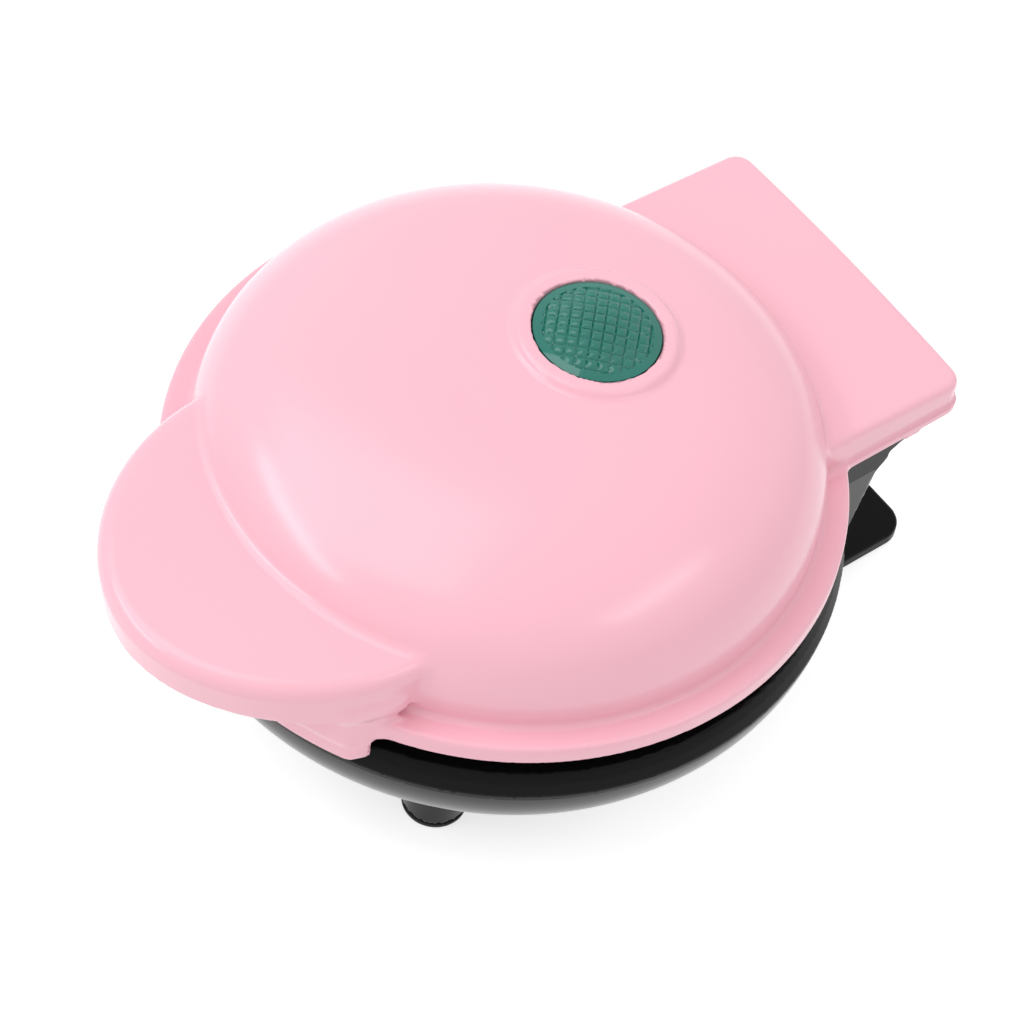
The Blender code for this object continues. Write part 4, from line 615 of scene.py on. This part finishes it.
UPPER_FACE = 39.9
LOWER_FACE = 39.5
UPPER_RIM = 60.0
LOWER_RIM = 59.0
CASTING_ROUND = 0.6
RIM_UNDERSIDE = -1.6
DISH_BACK = [(51.1, RIM_UNDERSIDE), (47.5, -6.9), (46.4, -9.9), (0.0, -9.9)]
DISH = [(0.0, 6.0), (52.1, 6.0), (44.9, -6.0), (0.0, -6.0)]
DISH_ROUND = 1.5
DISH_EDGE = 0.7
DISH_DEPTH = 7.5
PEG_PITCH = 16.5
PEG_HEIGHT = 4.9
PEG_HALF = 6.1
PEG_CORNER = 1.3
PEG_DRAFT = 1.5
PEG_SLANT = 0.955
PEG_CIRCLE = 44.8
PEG_SIDE_EDGE = 1.0
PEG_TOP_EDGE = 0.9
PEG_FILLET = 0.9
PEG_ROOT = 1
POST_RADIUS = 3.2
POST_TOP = -10
POST_LOW = -16.7
POST_HOLE_TOP = -11.1
RIM_SCREW_CIRCLE = 54.5
RIM_SCREW_ANGLES = (-90, 30, 150)
SINK_RADIUS = 3.1
SINK_SLANT = 0.71
SINK_EDGE = 0.15


def waffle_pegs(x, y, z, r):
    """Square pegs with sloping sides, trimmed by a cone where they meet the dish's wall."""
    u = np.abs(np.mod(x, PEG_PITCH) - PEG_PITCH / 2)
    v = np.abs(np.mod(y, PEG_PITCH) - PEG_PITCH / 2)
    rise = z + DISH_DEPTH
    slope = PEG_DRAFT / PEG_HEIGHT
    half = PEG_HALF - slope * rise
    peg = rounded_rect(u, v, half, half, PEG_CORNER) * PEG_SLANT
    peg = meet(peg, (r - PEG_CIRCLE + slope * rise) * PEG_SLANT, PEG_SIDE_EDGE)
    peg = meet(peg, rise - PEG_HEIGHT, PEG_TOP_EDGE)
    return common(peg, -PEG_ROOT - rise)


def plate_field(x, y, z, rim, holes):
    r = np.hypot(x, y)
    edge = rim - CASTING_ROUND
    casting = [(0.0, -CASTING_ROUND), (edge, -CASTING_ROUND), (edge, RIM_UNDERSIDE)] + DISH_BACK
    plate = cut(polygon(r, z, casting) - CASTING_ROUND, polygon(r, z, DISH) - DISH_ROUND, DISH_EDGE)
    plate = blend(plate, waffle_pegs(x, y, z, r), PEG_FILLET)
    for angle in POST_ANGLES:
        ring = around(x, y, POST_CIRCLE, angle)
        plate = np.minimum(plate, common(ring - POST_RADIUS, z - POST_TOP, POST_LOW - z))
        plate = without(plate, common(ring - THREAD_RADIUS, z - POST_HOLE_TOP))
    if holes:
        for angle in RIM_SCREW_ANGLES:
            ring = around(x, y, RIM_SCREW_CIRCLE, angle)
            plate = without(plate, ring - THREAD_RADIUS)
            plate = cut(plate, (ring - SINK_RADIUS - np.minimum(z, 0)) * SINK_SLANT, SINK_EDGE)
    return plate


def upper_plate_field(x, y, z):
    return plate_field(x, y, UPPER_FACE - z, UPPER_RIM, True)


def lower_plate_field(x, y, z):
    return plate_field(x, y, z - LOWER_FACE, LOWER_RIM, False)


# Materials

COAT_ROUGHNESS = 0.06
BROAD_SCALE = 22.0
BROAD_DETAIL = 2.0
SKIN_DETAIL = 3.0
RAMP_ENDS = (0.25, 0.75)
SKIN_HEIGHT = 0.0004


def noise(tree, place, scale, detail):
    texture = tree.nodes.new("ShaderNodeTexNoise")
    texture.inputs["Scale"].default_value = scale
    texture.inputs["Detail"].default_value = detail
    tree.links.new(place.outputs["Object"], texture.inputs["Vector"])
    return texture


def surface(name, colour, roughness, metallic=0.0, grain=400.0, depth=0.02, spread=0.05, coat=0.0,
            transmission=0.0, tint=0.04, specular=0.5):
    """Moulded or metal surface: slight colour change, uneven gloss and a fine skin, all from noise."""
    look = bpy.data.materials.new(name)
    look.use_nodes = True
    tree = look.node_tree
    shader = tree.nodes["Principled BSDF"]
    shader.inputs["Metallic"].default_value = metallic
    shader.inputs["Coat Weight"].default_value = coat
    shader.inputs["Coat Roughness"].default_value = COAT_ROUGHNESS
    shader.inputs["Transmission Weight"].default_value = transmission
    shader.inputs["Specular IOR Level"].default_value = specular
    place = tree.nodes.new("ShaderNodeTexCoord")
    broad = noise(tree, place, BROAD_SCALE, BROAD_DETAIL)
    fine = noise(tree, place, grain, SKIN_DETAIL)
    ramp = tree.nodes.new("ShaderNodeValToRGB")
    for element, position, share in zip(ramp.color_ramp.elements, RAMP_ENDS, (1 - tint, 1 + tint)):
        element.position = position
        element.color = (*[min(c * share, 1) for c in colour], 1)
    tree.links.new(broad.outputs["Fac"], ramp.inputs["Fac"])
    tree.links.new(ramp.outputs["Color"], shader.inputs["Base Color"])
    gloss = tree.nodes.new("ShaderNodeMapRange")
    gloss.inputs["To Min"].default_value = roughness - spread / 2
    gloss.inputs["To Max"].default_value = roughness + spread / 2
    tree.links.new(fine.outputs["Fac"], gloss.inputs["Value"])
    tree.links.new(gloss.outputs["Result"], shader.inputs["Roughness"])
    bump = tree.nodes.new("ShaderNodeBump")
    bump.inputs["Strength"].default_value = depth
    bump.inputs["Distance"].default_value = SKIN_HEIGHT
    tree.links.new(fine.outputs["Fac"], bump.inputs["Height"])
    tree.links.new(bump.outputs["Normal"], shader.inputs["Normal"])
    return look


pink = surface("pink_plastic", (0.95, 0.50, 0.59), 0.22, grain=260.0, depth=0.015, spread=0.04,
               tint=0.012)
black = surface("black_plastic", (0.004, 0.004, 0.0045), 0.18, grain=300.0, depth=0.03, spread=0.05,
                tint=0.2, specular=0.27)
# Duller, less reflective copy of the black plastic: painted shade for the band under the lid and the
# stand plate's top
painted_shade_black = surface("black_painted_shade", (0.004, 0.004, 0.0045), 0.30, grain=300.0, depth=0.03, spread=0.05,
                    tint=0.2, specular=0.10)
coated = surface("nonstick_coating", (0.022, 0.022, 0.024), 0.40, grain=900.0, depth=0.12,
                 spread=0.12, tint=0.25)
steel = surface("screw_steel", (0.60, 0.60, 0.61), 0.30, 1.0, grain=700.0, depth=0.05, spread=0.12)
sheet = surface("pressed_sheet", (0.68, 0.68, 0.67), 0.38, 1.0, grain=500.0, depth=0.06, spread=0.14)
sheath = surface("element_sheath", (0.24, 0.22, 0.20), 0.50, 1.0, grain=600.0, depth=0.12,
                 spread=0.12, tint=0.2)
cream = surface("cream_nylon", (0.80, 0.77, 0.66), 0.48, grain=500.0, depth=0.05)
brown = surface("brown_resin", (0.12, 0.05, 0.03), 0.42, grain=700.0, depth=0.08, tint=0.15)
rubber = surface("black_rubber", (0.018, 0.018, 0.018), 0.72, grain=1200.0, depth=0.25, spread=0.10,
                 tint=0.2)
sleeve = surface("woven_sleeving", (0.80, 0.78, 0.72), 0.85, grain=1600.0, depth=0.45, tint=0.06)
glass = surface("lamp_glass", (0.95, 0.66, 0.40), 0.06, transmission=0.85, depth=0.0)
teal = surface("teal_lens", (0.0, 0.34, 0.26), 0.05, grain=300.0, depth=0.01, spread=0.02, tint=0.3,
               transmission=0.45, coat=0.2, specular=0.6)

# The stand plate takes the duller black copy as painted shade
LOOKS = {"lid_cover": pink, "base_shell": black, "rear_stand_plate": painted_shade_black,
         "lower_plate": coated, "upper_plate": coated, "indicator_lens": teal,
         "indicator_lamp": glass, "lens_retainer": cream, "terminal_block": cream,
         "thermostat": brown, "cord_gland": rubber, "lid_harness": sleeve, "base_harness": sleeve,
         "upper_heat_shield": sheet, "lower_heat_shield": sheet, "fuse_clip": sheet,
         "upper_heating_element": sheath, "lower_heating_element": sheath}


def look_of(node):
    if node in LOOKS:
        return LOOKS[node]
    return rubber if node.startswith("foot_pad") else steel


for name, node in nodes.items():
    node.data.materials.clear()
    node.data.materials.append(look_of(name))


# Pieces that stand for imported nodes

LENS_RINGS = 110
LENS_SPOKES = 220
LENS_CROWN = 1.6
LENS_SINK = 0.54
PRISM_PITCH = 2.1
PRISM_TURN = radians(45)
PRISM_LIFT = 0.60
PLAIN_RIM = 1.5
PLAIN_RIM_LIFT = 0.85
LENS_BACK = [(LENS_RADIUS, -3.0), (12.9, -3.0), (12.9, -4.2), (LENS_RADIUS - 1.8, -4.2),
             (LENS_RADIUS - 1.8, -1.5), (0.01, -0.7)]
LENS_SHARP = radians(28)

# The lowest and highest corner of each field's grid, and its cell

LID_GRID = (-66, -86, 34), (66, 84, 74), 0.7
BASE_GRID = (-66, -66, 0), (66, 77, 51), 0.75
STAND_GRID = (-34, 44, -1), (34, 84, 6), 0.5
LOWER_PLATE_GRID = (-61, -61, 21), (61, 61, 42), 0.7
UPPER_PLATE_GRID = (-62, -62, 37), (62, 62, 59), 0.7
PAD_GRID_HALF = 8
PAD_CELL = 0.4


def stand_for(piece, node, body):
    """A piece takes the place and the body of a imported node."""
    piece.data.materials.append(look_of(node))
    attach(piece, body)
    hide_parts(node)


def make_base():
    """Base moulding; its band under the lid takes a duller copy of the black plastic, as painted
    shade.
    """
    piece = net("base_moulding", base_field, *BASE_GRID)
    stand_for(piece, "base_shell", "base")
    piece.data.materials.append(painted_shade_black)
    # Faces of the band under the lid take the duller black copy, as painted shade
    for face in piece.data.polygons:
        place = face.center / MM
        if place.z > BAND_LOW and hypot(place.x, place.y - LID_AXIS_Y) > BAND_INNER:
            face.material_index = 1


def make_pad(number):
    """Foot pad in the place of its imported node."""
    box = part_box(f"foot_pad_{number}")
    pad_x, pad_y = [(box[0][i] + box[1][i]) / 2 / MM for i in (0, 1)]
    axis_y = pad_y - LID_AXIS_Y

    def field(x, y, z):
        return pad_field(x - pad_x, y - pad_y + LID_AXIS_Y, z)

    piece = net(f"foot_pad_moulding_{number}", field,
                (pad_x - PAD_GRID_HALF, axis_y - PAD_GRID_HALF, -1),
                (pad_x + PAD_GRID_HALF, axis_y + PAD_GRID_HALF, PAD_GRID_HALF), PAD_CELL)
    stand_for(piece, f"foot_pad_{number}", "base")


def lens_height(x, y, r):
    """Crowned face cut into square pillows, with a plain rim."""
    u = (x * cos(PRISM_TURN) + y * sin(PRISM_TURN)) / PRISM_PITCH
    v = (-x * sin(PRISM_TURN) + y * cos(PRISM_TURN)) / PRISM_PITCH
    edge = min(0.5 - abs(u - round(u)), 0.5 - abs(v - round(v))) * 2
    pillow = sqrt(max(1 - (1 - edge) ** 2, 0)) if r < LENS_RADIUS - PLAIN_RIM else PLAIN_RIM_LIFT
    ball = (LENS_RADIUS ** 2 + LENS_CROWN ** 2) / (2 * LENS_CROWN)
    return LENS_CROWN - ball + sqrt(ball * ball - r * r) - LENS_SINK + PRISM_LIFT * pillow


def make_lens():
    """Lens with its prisms in front and its flange and hollow behind."""
    turns = [2 * pi * j / LENS_SPOKES for j in range(LENS_SPOKES)]
    points, faces = [], []
    for i in range(LENS_RINGS + 1):
        r = LENS_RADIUS * i / LENS_RINGS
        for angle in turns if i else turns[:1]:
            x, y = r * cos(angle), r * sin(angle)
            points.append((x, y, lens_height(x, y, r)))

    def band(inner, outer):
        for j in range(LENS_SPOKES):
            k = (j + 1) % LENS_SPOKES
            faces.append((inner + j, outer + j, outer + k, inner + k))

    faces.extend((0, 1 + j, 1 + (j + 1) % LENS_SPOKES) for j in range(LENS_SPOKES))
    for i in range(1, LENS_RINGS):
        band(1 + (i - 1) * LENS_SPOKES, 1 + i * LENS_SPOKES)
    last = 1 + (LENS_RINGS - 1) * LENS_SPOKES
    for radius, z in LENS_BACK:
        start = len(points)
        points.extend((radius * cos(angle), radius * sin(angle), z) for angle in turns)
        band(last, start)
        last = start
    faces.append([last + j for j in range(LENS_SPOKES)][::-1])

    mesh = bpy.data.meshes.new("lens_prisms")
    mesh.from_pydata([Vector(p) * MM for p in points], [], faces)
    place = Matrix.Translation((0, (LENS_Y + LID_AXIS_Y) * MM, LENS_RIM * MM))
    mesh.transform(place @ Matrix.Rotation(LENS_LEAN, 4, "X"))
    mesh.shade_smooth()
    mesh.set_sharp_from_angle(angle=LENS_SHARP)
    return add_object("lens_prisms", mesh)


stand_for(net("lid_moulding", lid_field, *LID_GRID), "lid_cover", "lid")
make_base()
stand_for(net("stand_moulding", stand_field, *STAND_GRID), "rear_stand_plate", "base")
for pad_number in (1, 2, 3, 4):
    make_pad(pad_number)
stand_for(net("lower_plate_casting", lower_plate_field, *LOWER_PLATE_GRID),
          "lower_plate", "base")
stand_for(net("upper_plate_casting", upper_plate_field, *UPPER_PLATE_GRID),
          "upper_plate", "lid")
stand_for(make_lens(), "indicator_lens", "lid")


# Camera, in metres and degrees

CAMERA_PLACE = (0.33775, -0.33516, 0.64870)
CAMERA_AZIMUTH = 44.82
CAMERA_ELEVATION = 52.34
CAMERA_ROLL = 10.29
CAMERA_LENS = 150.43
CAMERA_SENSOR = 36
CLIP_START = 0.01


def make_camera():
    azimuth, elevation, roll = (radians(a) for a in (CAMERA_AZIMUTH, CAMERA_ELEVATION, CAMERA_ROLL))
    back = Vector((sin(azimuth) * cos(elevation), -cos(azimuth) * cos(elevation), sin(elevation)))
    right = Vector((cos(azimuth), sin(azimuth), 0))
    up = back.cross(right)
    across = right * cos(roll) + up * sin(roll)
    upright = -right * sin(roll) + up * cos(roll)
    camera = add_object("camera", bpy.data.cameras.new("camera"))
    camera.data.lens = CAMERA_LENS
    camera.data.sensor_width = CAMERA_SENSOR
    camera.data.clip_start = CLIP_START
    rows = [(across[i], upright[i], back[i], CAMERA_PLACE[i]) for i in range(3)]
    camera.matrix_world = Matrix((*rows, (0, 0, 0, 1)))
    bpy.context.scene.camera = camera


make_camera()


# Floor, world and lamps, in metres

FLOOR_HALF = 3.0
FLOOR_WHITE = 0.86
FLOOR_GLOW = 0.62
ROOM_LIGHT = 0.7
LAMP_TARGET = Vector((0, 0, 0.05))


def seen_rays(tree, unseen, seen):
    """One strength for what the camera, gloss and clear pieces show, another for the light given."""
    path = tree.nodes.new("ShaderNodeLightPath")
    either = path.outputs["Is Camera Ray"]
    for ray in ("Is Glossy Ray", "Is Transmission Ray"):
        both = tree.nodes.new("ShaderNodeMath")
        both.operation = "MAXIMUM"
        tree.links.new(either, both.inputs[0])
        tree.links.new(path.outputs[ray], both.inputs[1])
        either = both.outputs[0]
    pick = tree.nodes.new("ShaderNodeMapRange")
    pick.inputs["To Min"].default_value = unseen
    pick.inputs["To Max"].default_value = seen
    tree.links.new(either, pick.inputs["Value"])
    return pick.outputs["Result"]


def make_floor():
    """White floor that keeps a pale shadow."""
    mesh = bpy.data.meshes.new("floor")
    corners = [(x * FLOOR_HALF, y * FLOOR_HALF, 0) for x, y in ((-1, -1), (1, -1), (1, 1), (-1, 1))]
    mesh.from_pydata(corners, [], [(0, 1, 2, 3)])
    obj = add_object("floor", mesh)
    look = bpy.data.materials.new("pale_floor")
    look.use_nodes = True
    tree = look.node_tree
    tree.nodes.clear()
    out = tree.nodes.new("ShaderNodeOutputMaterial")
    plain = tree.nodes.new("ShaderNodeBsdfDiffuse")
    plain.inputs["Color"].default_value = (FLOOR_WHITE, FLOOR_WHITE, FLOOR_WHITE, 1)
    glow = tree.nodes.new("ShaderNodeEmission")
    total = tree.nodes.new("ShaderNodeAddShader")
    tree.links.new(seen_rays(tree, 0.0, FLOOR_GLOW), glow.inputs["Strength"])
    tree.links.new(plain.outputs[0], total.inputs[0])
    tree.links.new(glow.outputs[0], total.inputs[1])
    tree.links.new(total.outputs[0], out.inputs["Surface"])
    mesh.materials.append(look)


def make_world():
    world = bpy.data.worlds.new("studio")
    bpy.context.scene.world = world
    world.use_nodes = True
    tree = world.node_tree
    shade = tree.nodes["Background"]
    shade.inputs["Color"].default_value = (1, 1, 1, 1)
    tree.links.new(seen_rays(tree, ROOM_LIGHT, 1.0), shade.inputs["Strength"])


def lamp(name, direction, distance, width, height, power):
    """Soft area lamp that looks at the middle of the product."""
    light = bpy.data.lights.new(name, "AREA")
    light.shape = "RECTANGLE"
    light.size = width
    light.size_y = height
    light.energy = power
    obj = add_object(name, light)
    aim = Vector(direction).normalized()
    obj.location = LAMP_TARGET + aim * distance
    obj.rotation_euler = aim.to_track_quat("Z", "Y").to_euler()


make_floor()
make_world()
lamp("key", (-0.35, -0.25, 1.0), 1.3, 1.0, 1.0, 5.0)
lamp("left_strip", (-0.426, -0.609, 0.669), 1.2, 0.9, 0.16, 2.7)
lamp("right_strip", (0.533, 0.308, 0.788), 1.2, 0.64, 0.14, 1.1)

bpy.context.scene.view_settings.view_transform = "Standard"
